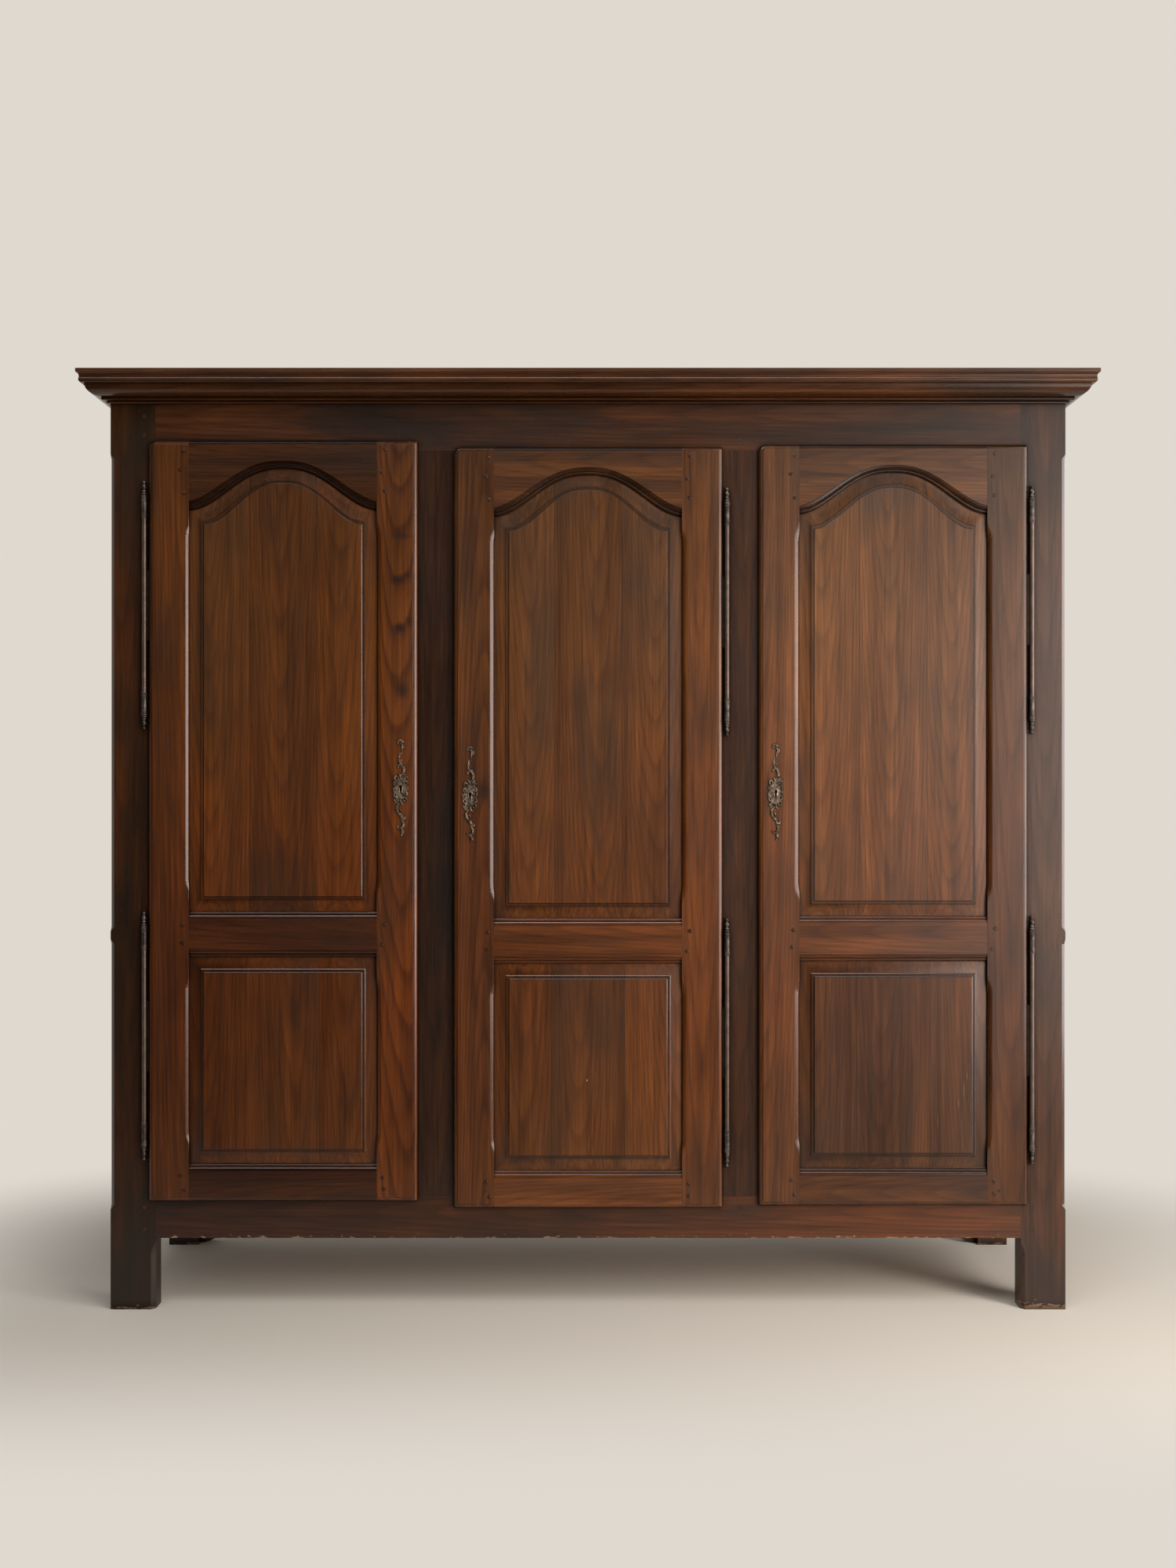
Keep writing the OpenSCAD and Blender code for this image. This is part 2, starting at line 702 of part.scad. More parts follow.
// Outline of a turned finial, pointing down from z = 0 to -finial_l, as [radius, z]
finial_points = concat(
    [[0, 0], [ring_r, 0]],
    arc(ring_r - 1.2, -1.6, 1.6, 1.6, 60, -60, 4),
    [[4.2, -4]],
    arc(3.6, -6.4, 1.8, 1.8, 60, -60, 4),
    [[3.2, -9]],
    arc(2.6, -11.6, 2, 2, 60, -60, 4),
    [[2.6, -15]],
    arc(0, -20.5, 4.4, 5.5, 50, -60, 5),
    [[1.8, -finial_l + 7]],
    arc(0, -finial_l + 3.4, 3.4, 3.4, 60, -90, 6)
);

// Rings of a knuckle, as [height, depth below the widest]
knuckle_rings = [
    [1.5, 0], [5.2, 0.3], [knuckle_l - 9, 0.5], [knuckle_l - 5.2, 0.3], [knuckle_l - 1.5, 0]
];

// Knuckle of the frame with its ringed ends and its leaf, from z = 0 to knuckle_l
module knuckle() {
    difference() {
        union() {
            cylinder(r = ring_r - 0.6, h = knuckle_l);
            for (r = knuckle_rings)
                translate([0, 0, r[0]]) rotate_extrude() translate([ring_r - 1.1 - r[1], 0]) circle(1.5);
            block([-leaf_t / 2, barrel_wall_start, 3], [leaf_t / 2, hinge_off + leaf_d, knuckle_l - 3]);
        }
        translate([0, 0, -1]) cylinder(r = pin_r + pin_play, h = knuckle_l + 2);
    }
}

module hinge_knuckles() {
    color(iron) for (d = [0:2]) for (k = [0, 1])
        translate([hinge_x(d), front_y - hinge_off, hinge_z(d, k)]) {
            translate([0, 0, finial_l]) knuckle();
            translate([0, 0, hinge_len - finial_l - knuckle_l]) knuckle();
            translate([0, 0, finial_l]) rotate_extrude() polygon(finial_points);
        }
}

module hinge_pins() {
    color(iron) for (d = [0:2]) for (k = [0, 1])
        translate([hinge_x(d), front_y - hinge_off, hinge_z(d, k)]) {
            translate([0, 0, finial_l]) cylinder(r = pin_r, h = hinge_len - 2 * finial_l + eps);
            translate([0, 0, hinge_len - finial_l]) rotate([180, 0, 0])
                rotate_extrude() polygon(finial_points);
        }
}

// Slots in the frame for the leaves of door d's knuckles
module leaf_slots(d) {
    for (k = [0, 1]) for (z = [finial_l + 3, hinge_len - finial_l - knuckle_l + 3])
        translate([hinge_x(d), front_y, hinge_z(d, k) + z])
            block([-leaf_t / 2 - fit, -1, -fit], [leaf_t / 2 + fit, leaf_d + fit, knuckle_l - 6 + fit]);
}

// Tenon of a front rail at its right end, and the mortise when play is given
front_tenon_y = front_y + (frame_t - tenon_t) / 2;
front_rail_z = [[foot_h, open_z0], [open_z1, post_top]];
module front_tenon(i, play) {
    z = front_rail_z[i];
    block([post_in - eps, front_tenon_y - play, z[0] + 12 - play],
          [post_in + tenon_l + play, front_tenon_y + tenon_t + play, z[1] - 12 + play]);
}

// Heights of the three side rails, which the back rails share
cross_rails = [[foot_h, open_z0], [cross_rail_z, cross_rail_z + cross_rail_h], [open_z1, post_top]];
cross_inset = groove_d + 3;

// Tenons of the right side's rails, into the front post and the back post
side_tenon_x = side_x - side_rail_t / 2 - tenon_t / 2;
module side_tenon(i, play) {
    z = cross_rails[i];
    for (y = [[post_back_y - tenon_l / 2 - 6 - play, post_back_y + eps],
              [back_post_y - eps, back_post_y + tenon_l / 2 + 6 + play]])
        block([side_tenon_x - play, y[0], z[0] + cross_inset - play],
              [side_tenon_x + tenon_t + play, y[1], z[1] - cross_inset + play]);
}

// Spans of the two openings between the cross rails
cross_spans = [[cross_rails[0][1], cross_rails[1][0]], [cross_rails[1][1], cross_rails[2][0]]];
side_groove_x = side_x - panel_sink - tongue_t;

// Grooves for the side panels in the faces of the right side's posts
module side_panel_grooves() {
    for (z = cross_spans)
        for (y = [[post_back_y - groove_d, post_back_y + 1], [back_post_y - 1, back_post_y + groove_d]])
            block([side_groove_x, y[0], z[0] - groove_d],
                  [side_groove_x + tongue_t, y[1], z[1] + groove_d]);
}

// Shelf heights above the floor boards in the left bay
shelf_tops = [for (i = [1:shelf_count]) floor_z + (open_z1 - floor_z) * i / (shelf_count + 1)];
hat_top = floor_z + hat_shelf_z;
bearer_x = side_in - bearer_t;

// Bearer on the right side, let into both posts, under a shelf whose underside is at z
module side_bearer(z, h, play) {
    block([bearer_x - play, post_back_y - housing_d - play, z - h - play],
          [side_in + play, back_post_y + housing_d + play, z + play]);
}

// Place of a peg as [x, z]; each goes through the face of the frame
post_pegs = [for (z = [foot_h + 18, open_z0 - 24, open_z1 + 33, open_z1 + 73]) [post_in + peg_inset, z]];
mullion_pegs = [for (z = [open_z0 - peg_inset, open_z1 + peg_inset]) [mullion_x, z]];

module peg_at(p, r, l) {
    translate([p[0], front_y + l, p[1]]) rotate([90, 0, 0]) cylinder(r = r, h = l);
}

// Spans of the two chamfers on a post's outer corner, with a short stop between them
post_break = open_z0 + 0.35 * open_h;
post_stops = [[open_z0 - 30, post_break - 6], [post_break + 6, open_z1 - 6]];

// Front post on the right; d is the door that it carries, mirrored for the left one
module front_post_shape(d) {
    difference() {
        block([post_in, front_y, 0], [side_x, post_back_y, post_top]);
        for (i = [0, 1]) front_tenon(i, fit);
        for (i = [0:2]) side_tenon(i, fit);
        side_panel_grooves();
        // Outer corner: a long chamfer, a short stop, then a second chamfer
        translate([side_x, front_y, 0]) for (z = post_stops)
            stop_chamfer(z[0], z[1], post_chamfer, post_chamfer, post_run);
        // Inner corner of the foot: one stop under the rail, then down to the floor
        translate([post_in, front_y, 0]) mirror([1, 0, 0])
            stop_chamfer(-2 * foot_run, foot_h - 4, foot_chamfer, foot_chamfer, foot_run);
        for (p = post_pegs) peg_at(p, peg_r + fit, peg_l);
        mirror([d == 0 ? 1 : 0, 0, 0]) leaf_slots(d);
    }
}

module left_front_post() {
    color(frame_wood) mirror([1, 0, 0]) difference() {
        front_post_shape(0);
        for (z = shelf_tops) side_bearer(z - shelf_t, bearer_h, fit);
    }
}

module right_front_post() {
    color(frame_wood) difference() {
        front_post_shape(2);
        side_bearer(hat_top - shelf_t, rail_bearer_h, fit);
    }
}

// Tenons of the back rails at their right ends
back_tenon_y = back_rail_y + (back_rail_t - tenon_t) / 2;
back_groove_y = back_rail_y + 8;
module back_tenon(i, play) {
    z = cross_rails[i];
    block([back_post_in - eps, back_tenon_y - play, z[0] + cross_inset - play],
          [back_post_in + tenon_l + play, back_tenon_y + tenon_t + play, z[1] - cross_inset + play]);
}

module back_post_shape() {
    difference() {
        block([back_post_in, back_post_y, 0], [side_x, back_y, post_top]);
        for (i = [0:2]) side_tenon(i, fit);
        side_panel_grooves();
        for (i = [0:2]) back_tenon(i, fit);
        for (z = cross_spans)
            block([back_post_in - 1, back_groove_y, z[0] - groove_d],
                  [back_post_in + groove_d, back_groove_y + back_board_t, z[1] + groove_d]);
    }
}

module left_back_post() {
    color(frame_wood) mirror([1, 0, 0]) difference() {
        back_post_shape();
        for (z = shelf_tops) side_bearer(z - shelf_t, bearer_h, fit);
    }
}

module right_back_post() {
    color(frame_wood) difference() {
        back_post_shape();
        side_bearer(hat_top - shelf_t, rail_bearer_h, fit);
    }
}

// Tenon of a mullion into the bottom (0) or top (1) rail
module mullion_tenon(i, play) {
    z = i == 0 ? [open_z0 - tenon_l - play, open_z0 + eps] : [open_z1 - eps, open_z1 + tenon_l + play];
    block([mullion_x - mullion_w / 2 + 10 - play, front_tenon_y - play, z[0]],
          [mullion_x + mullion_w / 2 - 10 + play, front_tenon_y + tenon_t + play, z[1]]);
}

// Pocket of the strike of door d, in the edge of its mullion that faces the door
function strike_side(d) = -hinge_sides[d];
function strike_x(d) = door_x(d) + strike_side(d) * open_w / 2;
function strike_z(d) = door_z(d) + key_z + bolt_rise;
strike_y = front_y - door_gap + bolt_y;

module strike_cut(d) {
    s = strike_side(d);
    translate([strike_x(d), strike_y, strike_z(d)]) mirror([s < 0 ? 1 : 0, 0, 0]) {
        block([-1, -bolt_t / 2 - 1, -strike_h / 2], [strike_t, bolt_t / 2 + 1, strike_h / 2]);
        block([0, -bolt_t / 2 - bolt_play, -bolt_h / 2 - bolt_play],
              [bolt_throw + 2, bolt_t / 2 + bolt_play, bolt_h / 2 + bolt_play]);
    }
}

module mullion_shape() {
    difference() {
        union() {
            block([mullion_x - mullion_w / 2, front_y, open_z0],
                  [mullion_x + mullion_w / 2, frame_back_y, open_z1]);
            for (i = [0, 1]) mullion_tenon(i, 0);
        }
        for (p = mullion_pegs) peg_at(p, peg_r + fit, peg_l);
    }
}

module left_mullion() {
    color(frame_wood) difference() {
        mirror([1, 0, 0]) mullion_shape();
        strike_cut(0);
        strike_cut(1);
    }
}

module right_mullion() {
    color(frame_wood) difference() {
        mullion_shape();
        strike_cut(2);
        leaf_slots(1);
    }
}

// A front rail with its tenons, and the mortises of both mullions
module front_rail(i) {
    z = front_rail_z[i];
    difference() {
        union() {
            block([-post_in, front_y, z[0]], [post_in, frame_back_y, z[1]]);
            for (s = [0, 1]) mirror([s, 0, 0]) front_tenon(i, 0);
        }
        for (s = [0, 1]) mirror([s, 0, 0]) {
            mullion_tenon(i, fit);
            for (p = mullion_pegs) peg_at(p, peg_r + fit, peg_l);
            for (p = post_pegs) peg_at(p, peg_r + fit, peg_l);
        }
    }
}

module front_top_rail() {
    color(frame_wood) front_rail(1);
}

// The bottom rail also holds the ends of the floor boards in a groove
module front_bottom_rail() {
    color(frame_wood) difference() {
        front_rail(0);
        block([-post_in - tenon_l, frame_back_y - ledge_d, floor_z - floor_t],
              [post_in + tenon_l, frame_back_y + 1, floor_z]);
    }
}

// Three rails of the right side, grooved for the panels and, at the foot, for the floor
module side_rails() {
    difference() {
        union() {
            for (z = cross_rails) block([side_in, post_back_y, z[0]], [side_x, back_post_y, z[1]]);
            for (i = [0:2]) side_tenon(i, 0);
        }
        for (z = cross_spans)
            block([side_groove_x, post_back_y, z[0] - groove_d],
                  [side_groove_x + tongue_t, back_post_y, z[1] + groove_d]);
        block([side_in - 1, post_back_y - 1, floor_z - floor_t], [side_in + 8, back_post_y + 1, floor_z]);
    }
}

module left_side_rails() {
    color(frame_wood) mirror([1, 0, 0]) side_rails();
}

module right_side_rails() {
    color(frame_wood) side_rails();
}

module side_panels() {
    half = (back_post_y - post_back_y) / 2;
    translate([side_x, post_back_y + half, 0]) rotate([0, 0, 90])
        for (z = cross_spans) square_panel(half, z[0], z[1]);
}

module left_side_panels() {
    color(panel_wood) mirror([1, 0, 0]) side_panels();
}

module right_side_panels() {
    color(panel_wood) side_panels();
}

// Back rails; the lowest drops at each end in a shaped bracket beside the back foot
module back_rails() {
    drop = foot_h - 1;
    color(frame_wood) difference() {
        union() {
            for (z = cross_rails) block([-back_post_in, back_rail_y, z[0]], [back_post_in, back_y, z[1]]);
            for (s = [0, 1]) mirror([s, 0, 0]) {
                for (i = [0:2]) back_tenon(i, 0);
                slab(back_rail_y, back_y) polygon(concat(
                    [[back_post_in, foot_h + eps], [back_post_in, foot_h - drop]],
                    arc(back_post_in, foot_h - drop + 60, 0.6 * bracket_w, 60, -90, -180, 8),
                    arc(back_post_in - bracket_w, foot_h - 40, 0.4 * bracket_w, 40, 0, 90, 6),
                    [[back_post_in - bracket_w, foot_h + eps]]
                ));
            }
        }
        for (z = cross_spans)
            block([-back_post_in, back_groove_y, z[0] - groove_d],
                  [back_post_in, back_groove_y + back_board_t, z[1] + groove_d]);
        block([-side_in, back_rail_y - 1, floor_z - floor_t],
              [side_in, back_rail_y + ledge_d - 3, floor_z]);
    }
}

// A row of tongued boards across a span of x, in its own [x, depth] section
board_play = 0.5;
module board_section(width, thick) {
    tongue = thick / 3;
    difference() {
        union() {
            square([width - board_play, thick]);
            translate([width - board_play - eps, tongue + fit]) square([5 + eps, tongue - 2 * fit]);
        }
        translate([-1, tongue]) square([7, tongue]);
    }
}

module board_row(x0, x1, thick) {
    count = round((x1 - x0) / board_w);
    width = (x1 - x0) / count;
    for (i = [0:count - 1]) translate([x0 + i * width, 0]) intersection() {
        board_section(width, thick);
        translate([0, -1]) square([x1 - x0 - i * width, thick + 2]);
    }
}

module back_boards() {
    reach = back_post_in + groove_d - 2;
    color(inner_wood) for (z = cross_spans)
        translate([0, back_groove_y + fit, z[0] - groove_d + 1])
            linear_extrude(z[1] - z[0] + 2 * groove_d - 2)
                board_row(-reach, reach, back_board_t - 2 * fit);
}

// Boards laid from front to back, between y0 and y1, with their upper face at z
module laid_boards(reach, y0, y1, z, thick) {
    translate([0, y1, z - thick]) rotate([90, 0, 0]) linear_extrude(y1 - y0)
        board_row(-reach, reach, thick);
}

module floor_boards() {
    color(inner_wood) difference() {
        laid_boards(side_in + 7, frame_back_y - ledge_d + 1, back_rail_y + 6,
                    floor_z - fit, floor_t - 2 * fit);
        for (s = [0, 1]) mirror([s, 0, 0]) {
            block([post_in - 1, front_y - 1, 0], [side_x, post_back_y + 1, post_top]);
            block([back_post_in - 1, back_post_y - 1, 0], [side_x, back_y, post_top]);
        }
    }
}

module top_boards() {
    color(inner_wood)
        laid_boards(side_x - cornice_lip - 1, front_y + cornice_lip + 1, back_y, post_top + top_t, top_t);
}

// Section of the cornice, as [reach from the posts, height above its lower edge]
low_bead = 5.5;
mid_bead = 16;
cove_top = 0.53 * cornice_h;
cove_out = cornice_out - 14.5;
member_out = cornice_out - 7.5;
cornice_points = concat(
    [[0, 0]],
    arc(low_bead, 2.5, 1.3, 2.5, -90, 90, 4),
    [[low_bead + 3, 5.4]],
    arc(mid_bead - 2.4, 8.2, 2.4, 2.8, -90, 60, 5),
    [[mid_bead + 0.5, 11.8]],
    [for (i = [1:8]) let (a = 90 * i / 8)
        [mid_bead + 0.5 + (cove_out - mid_bead - 0.5) * sin(a), cove_top - (cove_top - 11.8) * cos(a)]],
    [[cove_out, cove_top + 1], [member_out, cove_top + 1.5]],
    arc(member_out, cove_top + 7, 2.6, 5, -75, 60, 5),
    arc(cornice_out - 0.8, cove_top + 13.5, 5, 7.4, 200, 110, 4),
    [[cornice_out, cornice_h - 8], [cornice_out, cornice_h - 1], [cornice_out - 1, cornice_h],
     [-cornice_lip, cornice_h], [-cornice_lip, cornice_seat], [0, cornice_seat]]
);

// Front length of the cornice, mitred at both corners
module front_cornice() {
    far = side_x + cornice_out;
    color(frame_wood) intersection() {
        run(-far, far) translate([0, body_h])
            polygon([for (p = cornice_points) [front_y - p[0], p[1]]]);
        translate([0, 0, body_h - 1]) linear_extrude(cornice_h + 2) polygon([
            [-far, front_y - cornice_out], [far, front_y - cornice_out],
            [side_x - cornice_lip, front_y + cornice_lip], [cornice_lip - side_x, front_y + cornice_lip]
        ]);
    }
}

// Side length of the cornice on the right, mitred to the front one
module side_cornice() {
    far = side_x + cornice_out;
    intersection() {
        slab(front_y - cornice_out, back_y) translate([0, body_h])
            polygon([for (p = cornice_points) [side_x + p[0], p[1]]]);
        translate([0, 0, body_h - 1]) linear_extrude(cornice_h + 2) polygon([
            [far, front_y - cornice_out], [far + 1, back_y + 1], [side_x - cornice_lip, back_y + 1],
            [side_x - cornice_lip, front_y + cornice_lip]
        ]);
    }
}

module side_cornices() {
    color(frame_wood) for (s = [0, 1]) mirror([s, 0, 0]) side_cornice();
}

// Partition behind the left mullion, from the floor to the top boards
module partition() {
    color(inner_wood)
        block([partition_x - partition_t / 2, frame_back_y, floor_z],
              [partition_x + partition_t / 2, back_rail_y, post_top]);
}

shelf_y0 = post_back_y + shelf_gap;
shelf_y1 = back_post_y - shelf_gap;

module shelves() {
    color(inner_wood) {
        for (z = shelf_tops)
            block([-side_in + shelf_gap, shelf_y0, z - shelf_t],
                  [partition_x - partition_t / 2 - shelf_gap / 2, shelf_y1, z]);
        block([partition_x + partition_t / 2 + shelf_gap / 2, shelf_y0, hat_top - shelf_t],
              [side_in - shelf_gap, shelf_y1, hat_top]);
    }
}

module shelf_bearers() {
    left_face = partition_x - partition_t / 2;
    right_face = partition_x + partition_t / 2;
    color(inner_wood) {
        for (z = shelf_tops) {
            mirror([1, 0, 0]) side_bearer(z - shelf_t, bearer_h, 0);
            block([left_face - bearer_t, shelf_y0, z - shelf_t - bearer_h],
                  [left_face, shelf_y1, z - shelf_t]);
        }
        side_bearer(hat_top - shelf_t, rail_bearer_h, 0);
        block([right_face, shelf_y0, hat_top - shelf_t - rail_bearer_h],
              [right_face + bearer_t, shelf_y1, hat_top - shelf_t]);
    }
}

// The hanging rail lies in a round socket at each end
rail_y = (shelf_y0 + shelf_y1) / 2;
rail_z = hat_top - shelf_t - rail_drop;
rail_x0 = partition_x + partition_t / 2 + bearer_t;
rail_x1 = bearer_x;
socket_base = 3;

module hanging_rail() {
    color(inner_wood) translate([rail_x0 + socket_base, rail_y, rail_z]) rotate([0, 90, 0])
        cylinder(r = rail_r, h = rail_x1 - rail_x0 - 2 * socket_base);
}

module rail_socket() {
    difference() {
        cylinder(r = socket_r, h = socket_t);
        translate([0, 0, socket_base]) cylinder(r = rail_r + fit, h = socket_t);
    }
}

module rail_sockets() {
    color(iron) {
        translate([rail_x0, rail_y, rail_z]) rotate([0, 90, 0]) rail_socket();
        translate([rail_x1, rail_y, rail_z]) rotate([0, -90, 0]) rail_socket();
    }
}

// Strike plates let into the mullions' edges, each with the hole for its bolt
module strike_plates() {
    color(iron) for (d = [0:2])
        translate([strike_x(d), strike_y, strike_z(d)]) mirror([strike_side(d) < 0 ? 1 : 0, 0, 0])
            difference() {
                block([0, -bolt_t / 2 - 1 + fit / 2, -strike_h / 2 + fit],
                      [strike_t, bolt_t / 2 + 1 - fit / 2, strike_h / 2 - fit]);
                block([-1, -bolt_t / 2 - bolt_play, -bolt_h / 2 - bolt_play],
                      [strike_t + 1, bolt_t / 2 + bolt_play, bolt_h / 2 + bolt_play]);
            }
}

module frame_pegs() {
    color(frame_wood) for (s = [0, 1]) mirror([s, 0, 0])
        for (p = concat(post_pegs, mullion_pegs)) peg_at(p, peg_r, peg_l - 0.5);
}

hinge_stile(0);  // left_door_hinge_stile
lock_stile(0);  // left_door_lock_stile
door_top_rail(0);  // left_door_top_rail
door_middle_rail(0);  // left_door_middle_rail
door_bottom_rail(0);  // left_door_bottom_rail
door_upper_panel(0);  // left_door_upper_panel
door_lower_panel(0);  // left_door_lower_panel
door_escutcheon(0);  // left_door_escutcheon
door_lock_case(0);  // left_door_lock_case
door_lock_bolt(0);  // left_door_lock_bolt
door_hinge_barrels(0);  // left_door_hinge_barrels
hinge_stile(1);  // middle_door_hinge_stile
lock_stile(1);  // middle_door_lock_stile
door_top_rail(1);  // middle_door_top_rail
door_middle_rail(1);  // middle_door_middle_rail
door_bottom_rail(1);  // middle_door_bottom_rail
door_upper_panel(1);  // middle_door_upper_panel
door_lower_panel(1);  // middle_door_lower_panel
door_escutcheon(1);  // middle_door_escutcheon
door_lock_case(1);  // middle_door_lock_case
door_lock_bolt(1);  // middle_door_lock_bolt
door_hinge_barrels(1);  // middle_door_hinge_barrels
hinge_stile(2);  // right_door_hinge_stile
lock_stile(2);  // right_door_lock_stile
door_top_rail(2);  // right_door_top_rail
door_middle_rail(2);  // right_door_middle_rail
door_bottom_rail(2);  // right_door_bottom_rail
door_upper_panel(2);  // right_door_upper_panel
door_lower_panel(2);  // right_door_lower_panel
door_escutcheon(2);  // right_door_escutcheon
door_lock_case(2);  // right_door_lock_case
door_lock_bolt(2);  // right_door_lock_bolt
door_hinge_barrels(2);  // right_door_hinge_barrels
hinge_knuckles();
hinge_pins();
left_front_post();
right_front_post();
left_back_post();
right_back_post();
left_mullion();
right_mullion();
front_top_rail();
front_bottom_rail();
left_side_rails();
right_side_rails();
left_side_panels();
right_side_panels();
back_rails();
back_boards();
floor_boards();
top_boards();
front_cornice();
side_cornices();
partition();
shelves();
shelf_bearers();
hanging_rail();
rail_sockets();
strike_plates();
frame_pegs();
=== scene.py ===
"""Looks of a three-door wardrobe: woods, metals, keyhole plates, pegs, lights and camera."""

import math

import bmesh
import bpy
from mathutils import Matrix, Vector

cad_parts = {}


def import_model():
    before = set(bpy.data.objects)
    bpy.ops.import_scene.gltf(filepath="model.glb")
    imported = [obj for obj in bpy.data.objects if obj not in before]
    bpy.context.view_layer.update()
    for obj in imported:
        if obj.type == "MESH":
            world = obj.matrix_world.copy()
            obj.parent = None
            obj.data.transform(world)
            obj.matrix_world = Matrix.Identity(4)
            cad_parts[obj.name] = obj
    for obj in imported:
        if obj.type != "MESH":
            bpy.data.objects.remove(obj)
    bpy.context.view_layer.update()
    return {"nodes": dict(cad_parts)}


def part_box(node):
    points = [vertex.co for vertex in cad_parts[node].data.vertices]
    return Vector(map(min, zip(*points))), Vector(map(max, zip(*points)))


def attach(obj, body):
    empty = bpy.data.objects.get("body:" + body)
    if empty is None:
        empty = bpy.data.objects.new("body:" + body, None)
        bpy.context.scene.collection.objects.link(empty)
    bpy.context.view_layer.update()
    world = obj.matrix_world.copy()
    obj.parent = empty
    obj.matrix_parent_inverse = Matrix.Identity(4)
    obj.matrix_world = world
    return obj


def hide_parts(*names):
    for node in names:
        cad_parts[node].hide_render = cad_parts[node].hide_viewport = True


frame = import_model()
NODES = frame["nodes"]

DOORS = ("left_door", "middle_door", "right_door")
AXES = {"x": 0, "y": 1, "z": 2}


def srgb(red, green, blue):
    """Linear colour of three sRGB levels from 0 to 255."""
    levels = [level / 255 for level in (red, green, blue)]
    return tuple(
        v / 12.92 if v <= 0.04045 else ((v + 0.055) / 1.055) ** 2.4 for v in levels
    )


# ---------------------------------------------------------------- node trees


class Tree:
    """Adds nodes to a node tree and links them."""

    def __init__(self, tree):
        self.tree = tree

    def add(self, kind, inputs=None, **settings):
        node = self.tree.nodes.new(kind)
        for key, value in settings.items():
            setattr(node, key, value)
        for key, value in (inputs or {}).items():
            self.put(node.inputs[key], value)
        return node

    def put(self, socket, value):
        """Links another node's output into a socket, or sets a plain value on it."""
        if isinstance(value, bpy.types.NodeSocket):
            self.tree.links.new(value, socket)
        elif value is not None:
            if socket.type == "RGBA" and len(value) == 3:
                value = (*value, 1.0)
            socket.default_value = value

    def math(self, operation, a, b=None, c=None, clamp=False):
        node = self.add("ShaderNodeMath", operation=operation, use_clamp=clamp)
        for index, value in enumerate((a, b, c)):
            self.put(node.inputs[index], value)
        return node.outputs[0]

    def vector(self, operation, a, b=None, scale=None):
        node = self.add("ShaderNodeVectorMath", operation=operation)
        self.put(node.inputs[0], a)
        self.put(node.inputs[1], b)
        if scale is not None:
            self.put(node.inputs["Scale"], scale)
        return node.outputs["Value" if operation == "LENGTH" else "Vector"]

    def scale(self, vector, factor):
        return self.vector("SCALE", vector, scale=factor)

    def split(self, vector):
        return self.add("ShaderNodeSeparateXYZ", {0: vector}).outputs

    def join(self, x, y, z):
        return self.add("ShaderNodeCombineXYZ", {0: x, 1: y, 2: z}).outputs[0]

    def noise(self, vector, detail=2.0, roughness=0.5, distortion=0.0):
        return self.add(
            "ShaderNodeTexNoise",
            {
                "Vector": vector,
                "Scale": 1.0,
                "Detail": detail,
                "Roughness": roughness,
                "Distortion": distortion,
            },
        ).outputs[0]

    def span(self, value, low, high, to_low=0.0, to_high=1.0, smooth=True):
        """Takes low to high over into to_low to to_high, and holds the ends beyond."""
        node = self.add(
            "ShaderNodeMapRange",
            {0: value, 1: low, 2: high, 3: to_low, 4: to_high},
            interpolation_type="SMOOTHSTEP" if smooth else "LINEAR",
        )
        return node.outputs[0]

    def curve(self, value, stops):
        """Ramp through (place, level) or (place, colour) stops."""
        node = self.add("ShaderNodeValToRGB", {0: value})
        ramp = node.color_ramp
        while len(ramp.elements) < len(stops):
            ramp.elements.new(0.5)
        for element, (place, level) in zip(ramp.elements, stops):
            element.position = place
            element.color = (*(level if isinstance(level, tuple) else (level,) * 3), 1)
        return node.outputs[0]

    def mix(self, factor, a, b, blend="MIX"):
        node = self.add("ShaderNodeMix", data_type="RGBA", blend_type=blend)
        self.put(node.inputs[0], factor)
        self.put(node.inputs[6], a)
        self.put(node.inputs[7], b)
        return node.outputs[2]


def new_material(name):
    """A material without nodes, and the tree to add them to."""
    material = bpy.data.materials.new(name)
    material.use_nodes = True
    material.node_tree.nodes.clear()
    return material, Tree(material.node_tree)


def seen_rays(t):
    """1 for the rays that show a surface: straight, in a reflection or through glass."""
    rays = t.add("ShaderNodeLightPath").outputs
    seen = t.math("MAXIMUM", rays["Is Camera Ray"], rays["Is Glossy Ray"])
    return t.math("MAXIMUM", seen, rays["Is Transmission Ray"])


def add_mesh(mesh, material):
    """Scene object of a mesh, in one material."""
    mesh.materials.append(material)
    piece = bpy.data.objects.new(mesh.name, mesh)
    bpy.context.scene.collection.objects.link(piece)
    return piece


def add_body(name, body, material):
    """Scene object of a bmesh, which is used up, in one material."""
    mesh = bpy.data.meshes.new(name)
    body.to_mesh(mesh)
    body.free()
    return add_mesh(mesh, material)


# ---------------------------------------------------------------- wood and metal

WOOD_INPUTS = (
    ("Board", "NodeSocketVector", (0, 0, 0)),
    ("Seed", "NodeSocketFloat", 0),
    ("Width", "NodeSocketFloat", 10),
    ("Pith", "NodeSocketVector", (0, 0, 0)),
    ("Tilt", "NodeSocketFloat", 0.03),
    ("Ring", "NodeSocketFloat", 0.006),
    ("Warp", "NodeSocketFloat", 0.02),
    ("Figure", "NodeSocketFloat", 0.6),
    ("Dark", "NodeSocketColor", (0, 0, 0, 1)),
    ("Light", "NodeSocketColor", (0, 0, 0, 1)),
    ("Stain", "NodeSocketColor", (0, 0, 0, 1)),
    ("Staining", "NodeSocketFloat", 0.5),
)
WOOD_OUTPUTS = (
    ("Color", "NodeSocketColor"),
    ("Rough", "NodeSocketFloat"),
    ("Height", "NodeSocketFloat"),
)
SEAM = 0.0005  # half the width of the seam between two boards
